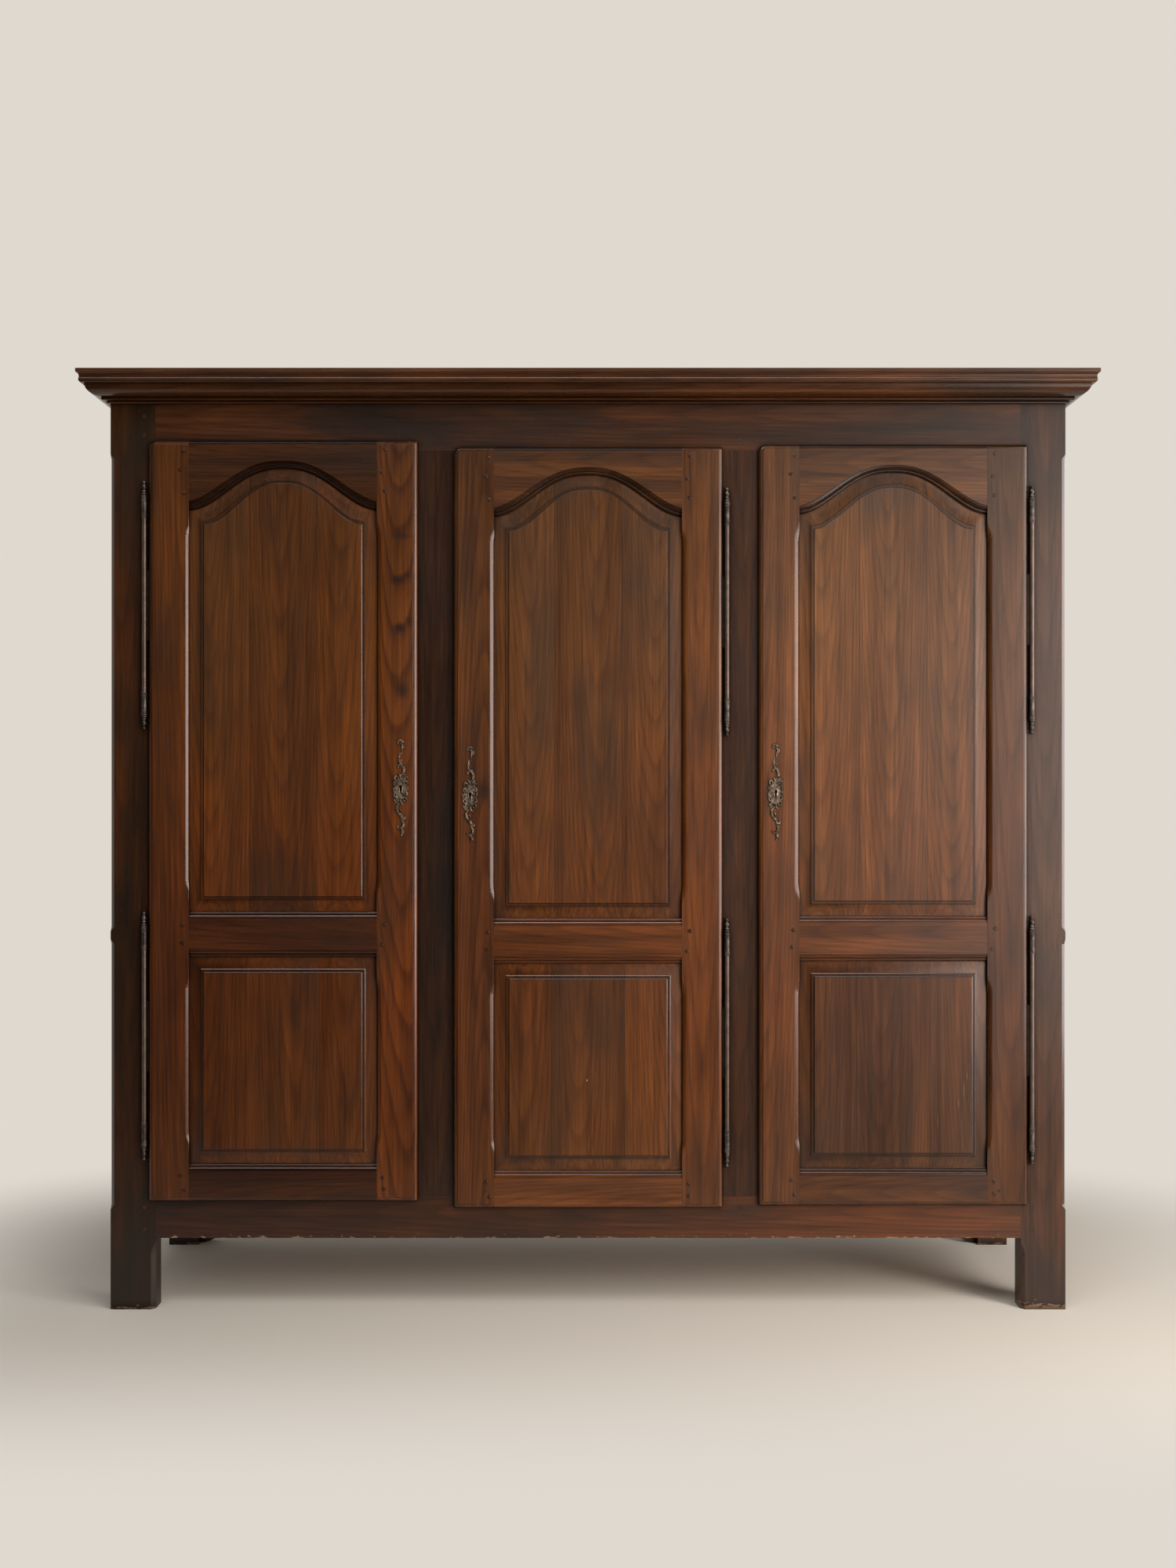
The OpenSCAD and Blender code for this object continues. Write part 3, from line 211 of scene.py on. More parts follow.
# What growth rings, pores and seams multiply the wood's colour by, where they are darkest
RING_SHADE = (0.34, 0.27, 0.24)
PORE_SHADE = (0.3, 0.24, 0.2)
SEAM_SHADE = (0.1, 0.08, 0.07)


def wood_group():
    """Sawn, stained and waxed wood from its growth rings. Board is across, deep and along."""
    group = bpy.data.node_groups.new("sawn_wood", "ShaderNodeTree")
    for name, kind, default in WOOD_INPUTS:
        socket = group.interface.new_socket(name, in_out="INPUT", socket_type=kind)
        socket.default_value = default
    for name, kind in WOOD_OUTPUTS:
        group.interface.new_socket(name, in_out="OUTPUT", socket_type=kind)
    t = Tree(group)
    given = t.add("NodeGroupInput").outputs
    across, deep, along = t.split(given["Board"])[:]

    # Boards glued side by side, each cut from another place in the log
    place = t.math("ADD", t.math("DIVIDE", across, given["Width"]), 0.5)
    index = t.math("FLOOR", place)
    edge = t.math("ABSOLUTE", t.math("SUBTRACT", t.math("FRACT", place), 0.5))
    seam_share = t.math("DIVIDE", SEAM, given["Width"])
    seam = t.math("GREATER_THAN", edge, t.math("SUBTRACT", 0.5, seam_share))
    key = t.math("ADD", t.math("MULTIPLY", given["Seed"], 7.31), index)
    chance = t.add("ShaderNodeTexWhiteNoise", {"W": key}, noise_dimensions="1D").outputs
    chance = t.split(chance["Color"])
    shift = t.join(*(t.math("MULTIPLY", key, step) for step in (3.7, 1.9, 5.3)))

    def stretched(side, length, detail=2.0, roughness=0.5, distortion=0.0):
        """Noise of so many waves to the metre over the board's section and along it."""
        scaled = t.vector("MULTIPLY", given["Board"], (side, side, length))
        return t.noise(t.vector("ADD", scaled, shift), detail, roughness, distortion)

    # Growth rings round the pith, which lies aslant, bent and wavering
    slow = t.math("SUBTRACT", stretched(5, 0.9), 0.5)
    wobble = t.math("SUBTRACT", stretched(24, 3.5), 0.5)
    pith = t.split(given["Pith"])
    side = t.math("SUBTRACT", across, pith[0])
    side = t.math("SUBTRACT", side, t.math("MULTIPLY", index, given["Width"]))
    side = t.math("ADD", side, t.math("MULTIPLY", t.math("SUBTRACT", chance[0], 0.5), 0.05))
    depth = t.math("SUBTRACT", deep, pith[1])
    depth = t.math("MULTIPLY_ADD", given["Tilt"], t.math("SUBTRACT", along, pith[2]), depth)
    depth = t.math("MULTIPLY_ADD", t.math("SUBTRACT", chance[1], 0.5), 0.02, depth)
    depth = t.math("MULTIPLY_ADD", slow, given["Warp"], depth)
    radius = t.math("SQRT", t.math("ADD", t.math("POWER", side, 2), t.math("POWER", depth, 2)))
    radius = t.math("MULTIPLY_ADD", wobble, 0.0045, radius)
    saw = t.math("FRACT", t.math("DIVIDE", radius, given["Ring"]))
    ring = t.curve(saw, ((0, 0.9), (0.09, 1), (0.34, 0.34), (0.7, 0.04), (0.9, 0), (1, 0.9)))

    # Finer figure: fibres, strands, clouds and pores, and broad streaks and patches
    fibre = stretched(430, 8, 3, 0.65)
    strand = stretched(170, 3)
    cloud = stretched(26, 5.5, 3, 0.6, 0.3)
    pore = t.span(stretched(1500, 48, 1), 0.57, 0.68)
    pore = t.math("MULTIPLY", pore, t.math("MULTIPLY_ADD", ring, 0.7, 0.3))
    streak = stretched(45, 0.7, 3, 0.6)
    patch = stretched(6, 1.7, 3, 0.55, 0.4)

    tone = t.math("MULTIPLY_ADD", t.math("SUBTRACT", streak, 0.5), 1.25, 0.5)
    tone = t.math("MULTIPLY_ADD", t.math("SUBTRACT", chance[2], 0.5), 0.28, tone)
    tone = t.math("MULTIPLY_ADD", slow, 0.8, tone, clamp=True)
    colour = t.mix(tone, given["Dark"], given["Light"])
    figure = t.math("MULTIPLY", ring, given["Figure"])
    colour = t.mix(figure, colour, RING_SHADE, "MULTIPLY")
    shade = t.span(fibre, 0.3, 0.7, 0.78, 1.22, smooth=False)
    shade = t.math("MULTIPLY", shade, t.span(strand, 0.3, 0.7, 0.83, 1.17, smooth=False))
    shade = t.math("MULTIPLY", shade, t.span(cloud, 0.25, 0.75, 0.75, 1.25, smooth=False))
    colour = t.scale(colour, shade)
    colour = t.mix(t.math("MULTIPLY", pore, 0.42), colour, PORE_SHADE, "MULTIPLY")
    stain = t.math("MULTIPLY", t.span(patch, 0.45, 0.72), given["Staining"])
    colour = t.mix(stain, colour, given["Stain"])
    colour = t.mix(t.math("MULTIPLY", seam, 0.75), colour, SEAM_SHADE, "MULTIPLY")

    rough = t.math("MULTIPLY_ADD", pore, 0.22, t.math("MULTIPLY", patch, 0.24))
    rough = t.math("MULTIPLY_ADD", fibre, 0.1, rough)
    height = t.math("MULTIPLY_ADD", pore, -0.2, t.math("MULTIPLY", ring, -0.2))
    height = t.math("MULTIPLY_ADD", fibre, 0.35, height)
    height = t.math("SUBTRACT", height, seam)
    t.add("NodeGroupOutput", {"Color": colour, "Rough": rough, "Height": height})
    return group


WOOD = wood_group()
DOOR_FACE = -0.2585  # y of the flat face of the doors' stiles and rails
SUNK_SHADE_EDGE = 0.0003  # depth over which the painted shade in sunk mouldings begins or ends
TOP_SHADE = (0.0075, 0.005)  # depths below a board's top over which it takes painted shade and turns dull
WOOD_SHADE_REACH = 0.024  # reach of the painted shade that darkens hollows, corners and gaps between parts
SMOOTHEST = 0.16  # roughness of the best polished wood
RAW_WOOD = srgb(150, 118, 92)
# Levels of the doors' wood by height, in shares of the top height set below: painted shade under
# the cornice, paler and greyer at the window's height as painted sheen, and redder towards the
# floor
HEIGHT_SHADING_TOP = 2.0
HEIGHT_SHADING = (
    (0.12, (0.95, 0.95, 0.85)),
    (0.33, (0.96, 0.86, 0.63)),
    (0.5, (1.03, 0.97, 0.85)),
    (0.71, (1.06, 1.16, 1.2)),
    (0.9, (0.75, 0.87, 0.95)),
)


def marked(t, colour, ragged, across, along, marks):
    """Colour with dark or pale marks, whose edges follow the wood's pores and patches."""
    for x, z, half_x, half_z, strength, paint in marks:
        place = t.join(
            t.math("DIVIDE", t.math("SUBTRACT", across, x), half_x),
            0.0,
            t.math("DIVIDE", t.math("SUBTRACT", along, z), half_z),
        )
        reach = t.math("MULTIPLY_ADD", ragged, 1.5, t.vector("LENGTH", place))
        colour = t.mix(t.span(reach, 0.35, 1.45, strength, 0.0), colour, paint)
    return colour


def chipped(t, colour, point, height):
    """Colour with the finish chipped down to raw wood below a height."""
    chips = t.noise(t.vector("MULTIPLY", point, (70, 70, 160)), 3, 0.6)
    reach = t.math("MULTIPLY_ADD", t.math("SUBTRACT", chips, 0.55), 0.06, height)
    bare = t.span(t.math("SUBTRACT", reach, t.split(point)[2]), 0.0, 0.002, 0.0, 0.7)
    return t.mix(bare, colour, RAW_WOOD)


def wood(name, order, node=None, *, dark, light, stain, seed, tone=1.0, tint=(1, 1, 1),
         width=10.0, pith=(0.0, 0.05, 0.0), tilt=0.03, ring=0.0052, warp=0.02, figure=0.36,
         staining=0.6, height_shaded=False, painted_grade=None, marks=(), worn=None, sunk_shade=(), shaded_top=False,
         step_shade=1.0, shaded_bevels=False, dull=0.35, glow=0.6, rough=0.2):
    """Wood material of a CAD node, or of a piece that is made here.

    order names the world axes that run across, deep into and along the board.
    dark, light and stain are its colours, each times tone and tint.
    seed is the board's place in the log, and width that of boards glued side by side.
    pith, tilt, ring and warp are where the log's middle lies, how far the board leans on it, how
    wide a growth ring is and how far the rings bend. figure is how dark they are.
    staining is how much of the stain shows, in patches.
    With the height flag set, the wood gets painted light and shade by its height: darker under the
    cornice, paler and greyer at the window's height.
    The grade pair is how light the board is at its low and at its high end: a painted gradient of
    light and shade along it, lighter towards the window on the front's rails and cornice.
    marks are dark or pale places: (across, along, half width, half length, strength, colour).
    worn is the height, in metres, below which the finish is chipped down to raw wood.
    The sunk triple (from, to, share) is how much colour is left between two depths below the doors'
    face: painted shade in the sunk mouldings and steps.
    Boards with the top flag set have painted shade along their upper edge, which is also dull.
    The step value is how dark the steep steps turned from the window are painted, as painted shade;
    those towards it get painted light.
    Panels with the bevel flag set get painted shade on the bevels turned from the window and
    downwards, and painted light on those towards it and upwards.
    dull is how much shine is left in the hollows, which no cloth reaches.
    glow is how much more wax the edges towards the window have.
    rough is the roughness of wood without pores or patches.
    """
    material, t = new_material(name)
    centre = Vector((0, 0, 0))
    if node:
        low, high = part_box(node)
        centre = (low + high) / 2
    coordinates = t.add("ShaderNodeTexCoord").outputs
    point = coordinates["Object"]
    where = t.split(point)
    parts = t.split(t.vector("SUBTRACT", point, tuple(centre)))
    across, deep, along = (AXES[letter] for letter in order)

    def toned(levels):
        return [level * tone * share for level, share in zip(levels, tint)]

    made = t.add(
        "ShaderNodeGroup",
        {
            "Board": t.join(parts[across], parts[deep], parts[along]), "Seed": seed,
            "Width": width, "Pith": pith, "Tilt": tilt, "Ring": ring, "Warp": warp,
            "Figure": figure, "Dark": toned(dark), "Light": toned(light),
            "Stain": toned(stain), "Staining": staining,
        },
        node_tree=WOOD,
    ).outputs
    colour = made["Color"]
    # Painted shade under the cornice and painted sheen at the window's height
    if height_shaded:
        height = t.math("MULTIPLY", where[2], 1 / HEIGHT_SHADING_TOP)
        colour = t.vector("MULTIPLY", colour, t.curve(height, HEIGHT_SHADING))
    # Painted light and shade: lighter or darker along the board
    if painted_grade:
        level = t.span(where[along], low[along], high[along], *painted_grade, smooth=False)
        colour = t.scale(colour, level)
    colour = marked(t, colour, made["Rough"], where[across], where[along], marks)
    if worn:
        colour = chipped(t, colour, point, worn)
    # Painted shade: the colour darkens to 0.12 in hollows, corners and gaps between parts
    hollow = t.add("ShaderNodeAmbientOcclusion", {"Distance": WOOD_SHADE_REACH}, samples=6)
    hollow = hollow.outputs["AO"]
    colour = t.scale(colour, t.span(hollow, 0.36, 0.97, 0.12, 1.0))
    # Painted shade in the mouldings and steps sunk below the doors' face
    if sunk_shade:
        start, end, left = sunk_shade
        depth = t.math("SUBTRACT", where[1], DOOR_FACE)
        begins = t.span(depth, start - SUNK_SHADE_EDGE, start)
        ends = t.span(depth, end, end + SUNK_SHADE_EDGE, 1.0, 0.0)
        inside = t.math("MULTIPLY", begins, ends)
        colour = t.scale(colour, t.math("MULTIPLY_ADD", inside, left - 1, 1.0))
    shine = t.span(hollow, 0.5, 0.97, 0.5 * dull, 0.5)
    # Painted shade along the doors' upper edges, under the cornice, which are also made dull
    if shaded_top:
        top_unshaded = t.span(where[2], high[2] - TOP_SHADE[0], high[2] - TOP_SHADE[1], 1.0, 0.1)
        shine = t.math("MULTIPLY", shine, top_unshaded)
        colour = t.scale(colour, t.span(top_unshaded, 0.0, 1.0, 0.6, 1.0))

    # Facing is 1 on a flat face and less on mouldings, chamfers and rounded corners
    normal = t.split(coordinates["Normal"])
    facing = t.split(t.vector("ABSOLUTE", coordinates["Normal"]))
    facing = t.math("MAXIMUM", t.math("MAXIMUM", facing[0], facing[1]), facing[2])
    if step_shade < 1:
        # Painted shade on the steep steps turned from the window and painted light on those towards
        # it
        step = t.span(normal[0], 0.15, 0.5, step_shade, 1.3)
        steep = t.span(facing, 0.9, 0.72)
        step = t.math("MULTIPLY_ADD", t.math("SUBTRACT", step, 1.0), steep, 1.0)
        colour = t.scale(colour, step)
    # Painted light and shade on the panels' bevels by which way they face
    if shaded_bevels:
        slope = t.math("MULTIPLY", t.span(facing, 0.996, 0.988), t.span(facing, 0.8, 0.92))
        sideways = t.span(normal[0], 0.06, 0.18, 0.62, 1.1)
        share = t.math("ADD", sideways, t.span(normal[2], 0.08, 0.2, 0.0, 0.2))
        slope = t.math("MULTIPLY_ADD", slope, t.math("SUBTRACT", share, 1.0), 1.0)
        colour = t.scale(colour, slope)
    # What isn't flat is rubbed to a finer polish
    polish = t.span(facing, 0.9985, 0.97, 0.0, 0.36)
    glint = t.math("MULTIPLY", t.span(normal[0], 0.25, 0.6), t.span(facing, 0.985, 0.95))
    shine = t.math("MULTIPLY", shine, t.math("MULTIPLY_ADD", glint, glow, 1.0))
    roughness = t.math("ADD", made["Rough"], rough)
    rubbed = t.math("MULTIPLY", roughness, -1.0)
    roughness = t.math("MULTIPLY_ADD", rubbed, polish, roughness)
    bump = {"Strength": 0.3, "Distance": 0.0004, "Height": made["Height"]}
    shader = t.add(
        "ShaderNodeBsdfPrincipled",
        {
            "Base Color": colour,
            "Roughness": t.math("MAXIMUM", roughness, SMOOTHEST),
            "Specular IOR Level": shine,
            "Normal": t.add("ShaderNodeBump", bump).outputs[0],
        },
    )
    t.add("ShaderNodeOutputMaterial", {"Surface": shader.outputs[0]})
    return material


def metal(name, dark, light, rough, metallic, bump, scale, reach=0.009, behind=None):
    """Aged metal: dark in its pores and hollows, rubbed paler in patches.

    bump is how deep its pores are, and scale how many patches there are to the metre.
    reach is the size of a dark hollow. What lies behind a given y, such as a hinge's leaf beside
    its rod, is painted dark as painted shade and made dull.
    """
    material, t = new_material(name)
    point = t.add("ShaderNodeTexCoord").outputs["Object"]
    broad = t.noise(t.scale(point, scale), 3, 0.6)
    grit = t.noise(t.scale(point, scale * 14), 3, 0.65)
    rubbed = t.span(t.math("MULTIPLY_ADD", grit, 0.5, broad), 0.6, 0.95)
    colour = t.mix(rubbed, dark, light)
    hollow = t.add("ShaderNodeAmbientOcclusion", {"Distance": reach}, samples=8).outputs["AO"]
    colour = t.scale(colour, t.span(hollow, 0.3, 0.85, 0.16, 1.0))
    gloss = 0.5
    # Painted shade on what lies behind the given depth, such as the hinge leaf beside the rod
    if behind:
        shade = t.span(t.split(point)[1], behind - 0.0008, behind, 1.0, 0.14)
        colour = t.scale(colour, shade)
        gloss = t.math("MULTIPLY", shade, gloss)
    roughness = t.span(grit, 0.25, 0.75, rough + 0.16, rough - 0.08)
    height = t.add("ShaderNodeBump", {"Strength": 0.5, "Distance": bump, "Height": grit})
    shader = t.add(
        "ShaderNodeBsdfPrincipled",
        {
            "Base Color": colour,
            "Metallic": metallic,
            "Roughness": roughness,
            "Specular IOR Level": gloss,
            "Normal": height.outputs[0],
        },
    )
    t.add("ShaderNodeOutputMaterial", {"Surface": shader.outputs[0]})
    return material


# ---------------------------------------------------------------- materials of each node

FRAME_TONES = dict(
    dark=srgb(38, 20, 8), light=srgb(82, 45, 19), stain=srgb(30, 21, 15), staining=0.9
)
DOOR_TONES = dict(dark=srgb(55, 27, 9), light=srgb(118, 66, 29), stain=srgb(42, 27, 18))
PANEL_TONES = dict(dark=srgb(60, 31, 11), light=srgb(114, 66, 30), stain=srgb(48, 33, 23))
INNER_TONES = dict(dark=srgb(128, 92, 58), light=srgb(176, 138, 94), stain=srgb(98, 70, 46))

# Painted light: the left front post, away from the window, is tinted redder as painted shade, the
# right one greyer as painted sheen from the window
WARM = (1, 0.85, 0.3)
WINDOW_SHEEN_TINT = (1, 1.08, 1.3)

MATERIAL_OF = {}


def dress(node, material):
    slots = NODES[node].data.materials
    slots.clear()
    slots.append(material)
    MATERIAL_OF[node] = material


SMUDGE = srgb(24, 18, 17)
SCRATCH = srgb(176, 148, 128)
# Dark places and scratches in the wood: (x, z, half width, half length, strength, colour)
MARKS = {
    "left_door_lock_stile": (
        (-0.392, 1.643, 0.028, 0.008, 0.5, SMUDGE), (-0.405, 1.550, 0.018, 0.013, 0.75, SMUDGE),
        (-0.384, 1.559, 0.012, 0.008, 0.5, SMUDGE), (-0.398, 1.448, 0.016, 0.015, 0.75, SMUDGE),
        (-0.379, 1.462, 0.012, 0.014, 0.5, SMUDGE), (-0.394, 1.316, 0.018, 0.024, 0.75, SMUDGE),
    ),
    "middle_door_lock_stile": ((-0.223, 1.104, 0.020, 0.026, 0.55, SMUDGE),),
    "right_door_lock_stile": ((0.384, 1.100, 0.014, 0.050, 0.45, SMUDGE),),
    "right_door_hinge_stile": ((0.870, 0.255, 0.0045, 0.0045, 0.95, SMUDGE),),
    "middle_door_lower_panel": ((-0.002, 0.489, 0.0022, 0.0026, 0.8, SCRATCH),),
    "right_door_lower_panel": (
        (0.797, 0.468, 0.0011, 0.022, 0.3, SCRATCH), (0.803, 0.498, 0.0010, 0.014, 0.24, SCRATCH),
        (0.785, 0.440, 0.0010, 0.012, 0.28, SCRATCH), (0.741, 0.402, 0.0008, 0.018, 0.2, SCRATCH),
    ),
}
# Boards whose growth rings show as broad arches
FIGURED = {
    "left_door_lock_stile": dict(pith=(0.004, -0.12, 0), tilt=-0.048, figure=0.62, ring=0.0054),
    "middle_door_lock_stile": dict(pith=(0.006, -0.07, 0.2), tilt=0.04, figure=0.5, ring=0.0058),
}
# Lightness of each of a door's boards, in the order of DOOR_WOODS
DOOR_TONE = {
    "left_door": (0.76, 1.06, 0.66, 0.66, 0.48, 0.94, 0.84),
    "middle_door": (1.00, 0.88, 0.88, 1.17, 1.20, 0.96, 1.05),
    "right_door": (0.61, 1.18, 1.04, 1.14, 0.60, 1.12, 0.87),
}
# Painted sheen: the doors nearer the window are tinted a greyer, less red brown, for the window's
# light reflected on them
DOOR_SHEEN_TINT = {
    "left_door": (1, 0.82, 0.3),
    "middle_door": (1, 0.97, 0.8),
    "right_door": (1, 1.06, 1.2),
}
STILE = dict(DOOR_TONES, shaded_top=True, step_shade=0.6)
RAIL = dict(DOOR_TONES, dull=1.0, sunk_shade=(0.0012, 0.01, 0.8))
ARCHED_RAIL = dict(DOOR_TONES, dull=0.1, shaded_top=True, sunk_shade=(0.0012, 0.01, 0.36))
PANEL = dict(PANEL_TONES, pith=(0.0, 0.05, 0.2), tilt=0.045, warp=0.035, step_shade=0.4, dull=1.0,
             shaded_bevels=True, sunk_shade=(0.0011, 0.0032, 0.5))
# A door's boards: part, order of axes, options of wood()
DOOR_WOODS = (
    ("hinge_stile", "xyz", dict(STILE, pith=(0.02, 0.06, 0), tilt=0.02)),
    ("lock_stile", "xyz", dict(STILE, pith=(-0.03, 0.03, 0), tilt=0.035, warp=0.03)),
    ("top_rail", "zyx", dict(ARCHED_RAIL, pith=(0.06, 0.05, 0), tilt=0.05)),
    ("middle_rail", "zyx", dict(RAIL, pith=(0.02, 0.05, 0), tilt=0.04)),
    ("bottom_rail", "zyx", dict(RAIL, pith=(-0.02, 0.04, 0), tilt=0.05)),
    ("upper_panel", "xyz", dict(PANEL, width=0.142)),
    ("lower_panel", "xyz", dict(PANEL, width=0.156)),
)
# The carcass's boards by kind of wood: first seed, tones, and the same of each node
CARCASS_WOODS = (
    (40, FRAME_TONES, (
        ("left_front_post", "xyz", dict(worn=0.005, tone=1.12, tint=WARM, painted_grade=(0.66, 1.02))),
        ("right_front_post", "xyz",
         dict(glow=-0.4, worn=0.012, tone=0.95, tint=WINDOW_SHEEN_TINT, painted_grade=(1.4, 1.0))),
        ("left_back_post", "xyz", dict(worn=0.004)),
        ("right_back_post", "xyz", dict(worn=0.004)),
        ("left_mullion", "xyz", dict(tone=0.5)),
        ("right_mullion", "xyz", dict(tone=0.8)),
        ("front_top_rail", "zyx", dict(tone=0.88, painted_grade=(0.98, 1.18))),
        ("front_bottom_rail", "zyx", dict(worn=0.152, tint=(1.1, 0.94, 0.72), painted_grade=(0.53, 1.75))),
        ("front_cornice", "zyx", dict(tone=1.35, painted_grade=(0.8, 1.2))),
        ("side_cornices", "zxy", dict(tone=1.4)),
        ("left_side_rails", "zxy", dict(width=0.5)),
        ("right_side_rails", "zxy", dict(width=0.5)),
        ("back_rails", "zyx", dict(width=0.5)),
        ("frame_pegs", "xzy", {}),
    )),
    (60, PANEL_TONES, (
        ("left_side_panels", "yxz", dict(width=0.15, rough=0.3)),
        ("right_side_panels", "yxz", dict(width=0.15, rough=0.3)),
    )),
    (70, INNER_TONES, (
        ("back_boards", "xyz", dict(width=0.118)),
        ("floor_boards", "xzy", dict(width=0.12)),
        ("top_boards", "xzy", dict(width=0.12)),
        ("partition", "yxz", dict(width=0.16)),
        ("shelves", "yzx", dict(width=0.24)),
        ("shelf_bearers", "zxy", {}),
        ("hanging_rail", "zyx", {}),
    )),
)


def door_woods():
    for index, door in enumerate(DOORS):
        for place, (part, order, options) in enumerate(DOOR_WOODS):
            name = f"{door}_{part}"
            options = {**options, **FIGURED.get(name, {})}
            dress(name, wood(
                name, order, name, seed=11 * index + place + 1, tone=DOOR_TONE[door][place],
                tint=DOOR_SHEEN_TINT[door], height_shaded=True, marks=MARKS.get(name, ()), **options,
            ))


def carcass_woods():
    for seed, tones, boards in CARCASS_WOODS:
        for index, (node, order, options) in enumerate(boards):
            dress(node, wood(node, order, node, seed=seed + index, **tones, **options))


door_woods()
carcass_woods()
IRON = metal("iron", srgb(62, 54, 50), srgb(112, 100, 92), 0.42, 0.7, 0.00003, 60)
HINGE_IRON = metal(
    "hinge_iron", srgb(88, 72, 63), srgb(106, 88, 78), 0.34, 0.5, 0.00001, 60,
    reach=0.0035, behind=-0.2538,
)
BRONZE = metal("bronze", srgb(68, 55, 44), srgb(160, 140, 119), 0.38, 0.6, 0.00004, 160)
for node in NODES:
    if node.endswith("escutcheon"):
        dress(node, BRONZE)
    elif node.endswith("hinge_barrels"):
        dress(node, HINGE_IRON)
    elif node not in MATERIAL_OF:
        dress(node, IRON)


# ---------------------------------------------------------------- softened edges

WELD = 0.00002  # distance at which a CAD mesh's vertices are one
ROUNDING = 0.0012  # width of the rounding of wooden corners
FLAT = math.radians(0.6)  # angle up to which two faces are one
CORNER = math.radians(35)  # angle from which an edge is rounded
CREASE = math.radians(32)  # angle from which an edge is shaded sharp


def smooth_group():
    """Shades faces smooth where they meet at a low angle."""
    group = bpy.data.node_groups.new("smooth_by_angle", "GeometryNodeTree")
    group.interface.new_socket("Mesh", in_out="INPUT", socket_type="NodeSocketGeometry")
    group.interface.new_socket("Mesh", in_out="OUTPUT", socket_type="NodeSocketGeometry")
    t = Tree(group)
    mesh = t.add("NodeGroupInput").outputs[0]
    angle = t.add("GeometryNodeInputMeshEdgeAngle").outputs[0]
    sharp = t.add("FunctionNodeCompare", {0: angle, 1: CREASE}, operation="GREATER_THAN")
    faces = t.add(
        "GeometryNodeSetShadeSmooth", {"Geometry": mesh, "Shade Smooth": True}, domain="FACE"
    )
    edges = t.add(
        "GeometryNodeSetShadeSmooth",
        {"Geometry": faces.outputs[0], "Selection": sharp.outputs[0], "Shade Smooth": False},
        domain="EDGE",
    )
    t.add("NodeGroupOutput", {0: edges.outputs[0]})
    return group


SMOOTH = smooth_group()


def smooth(piece):
    piece.modifiers.new("smooth", "NODES").node_group = SMOOTH


def soften(piece, width):
    """Welds a CAD node, clears its flat faces of inner edges and rounds its corners a little."""
    piece.modifiers.new("weld", "WELD").merge_threshold = WELD
    if width:
        flat = piece.modifiers.new("flat", "DECIMATE")
        flat.decimate_type = "DISSOLVE"
        flat.angle_limit = FLAT
        bevel = piece.modifiers.new("bevel", "BEVEL")
        bevel.width = width
        bevel.segments = 2
        bevel.limit_method = "ANGLE"
        bevel.angle_limit = CORNER
        bevel.use_clamp_overlap = True
    smooth(piece)
    if width:
        piece.modifiers.new("weighted", "WEIGHTED_NORMAL").keep_sharp = True


# Nodes with curved faces, which keep their facets, and metal aren't rounded
CURVED = ["hanging_rail", "frame_pegs"]
CURVED += [f"{door}_{part}" for door in DOORS for part in ("top_rail", "upper_panel")]
METALS = (IRON, HINGE_IRON, BRONZE)
for node, piece in NODES.items():
    soften(piece, 0 if node in CURVED or MATERIAL_OF[node] in METALS else ROUNDING)


# ---------------------------------------------------------------- keyhole plates


def skin(body, loops):
    """Faces between closed loops of as many vertices each."""
    for a, b in zip(loops, loops[1:]):
        for i in range(len(a)):
            k = (i + 1) % len(a)
            body.faces.new((a[i], a[k], b[k], b[i]))


def smooth_path(points, count):
    """Even points along a curve through the given ones (Catmull-Rom)."""
    ends = [points[0], *points, points[-1]]
    made = []
    for i in range(count + 1):
        place = i / count * (len(points) - 1)
        k = min(int(place), len(points) - 2)
        u = place - k
        a, b, c, d = (Vector(ends[k + j]) for j in range(4))
        made.append(
            0.5 * (2 * b + (c - a) * u + (2 * a - 5 * b + 4 * c - d) * u * u
                   + (3 * b - a - 3 * c + d) * u * u * u)
        )
    return made


def leaf(body, points, wide, high, ends, vein=0.25):
    """Cast ribbon along points (x, z) in mm, rounded, with a groove down its middle.

    ends are the shares of its width that are left at its start and at its end.
    """
    count = 5 * (len(points) - 1)
    path = smooth_path([(x, z, 0) for x, z in points], count)
    across = 8
    tapered = 0.3
    rows = []
    for i, centre in enumerate(path):
        t = i / count
        ahead = path[min(i + 1, count)] - path[max(i - 1, 0)]
        normal = Vector((-ahead.y, ahead.x, 0)).normalized()
        swell = math.sin(math.pi * min(max(t, 0.02), 0.98)) ** 0.5
        start, end = (
            left + (1 - left) * min(1, way / tapered) for left, way in zip(ends, (t, 1 - t))
        )
        half = wide * (start * end) * (0.7 + 0.3 * swell) / 2
        lift = high * (start * end) * (0.6 + 0.4 * swell)
        row = []
        for j in range(across + 1):
            u = 2 * j / across - 1
            rise = math.sqrt(max(0.0, 1 - u * u)) * (1 - vein * math.exp(-((u / 0.28) ** 2)))
            spot = centre + normal * half * u
            row.append(body.verts.new((spot.x, -lift * rise, spot.y)))
        rows.append(row)
    for a, b in zip(rows, rows[1:]):
        for j in range(across):
            body.faces.new((a[j], a[j + 1], b[j + 1], b[j]))
    body.faces.new(rows[0])
    body.faces.new(list(reversed(rows[-1])))


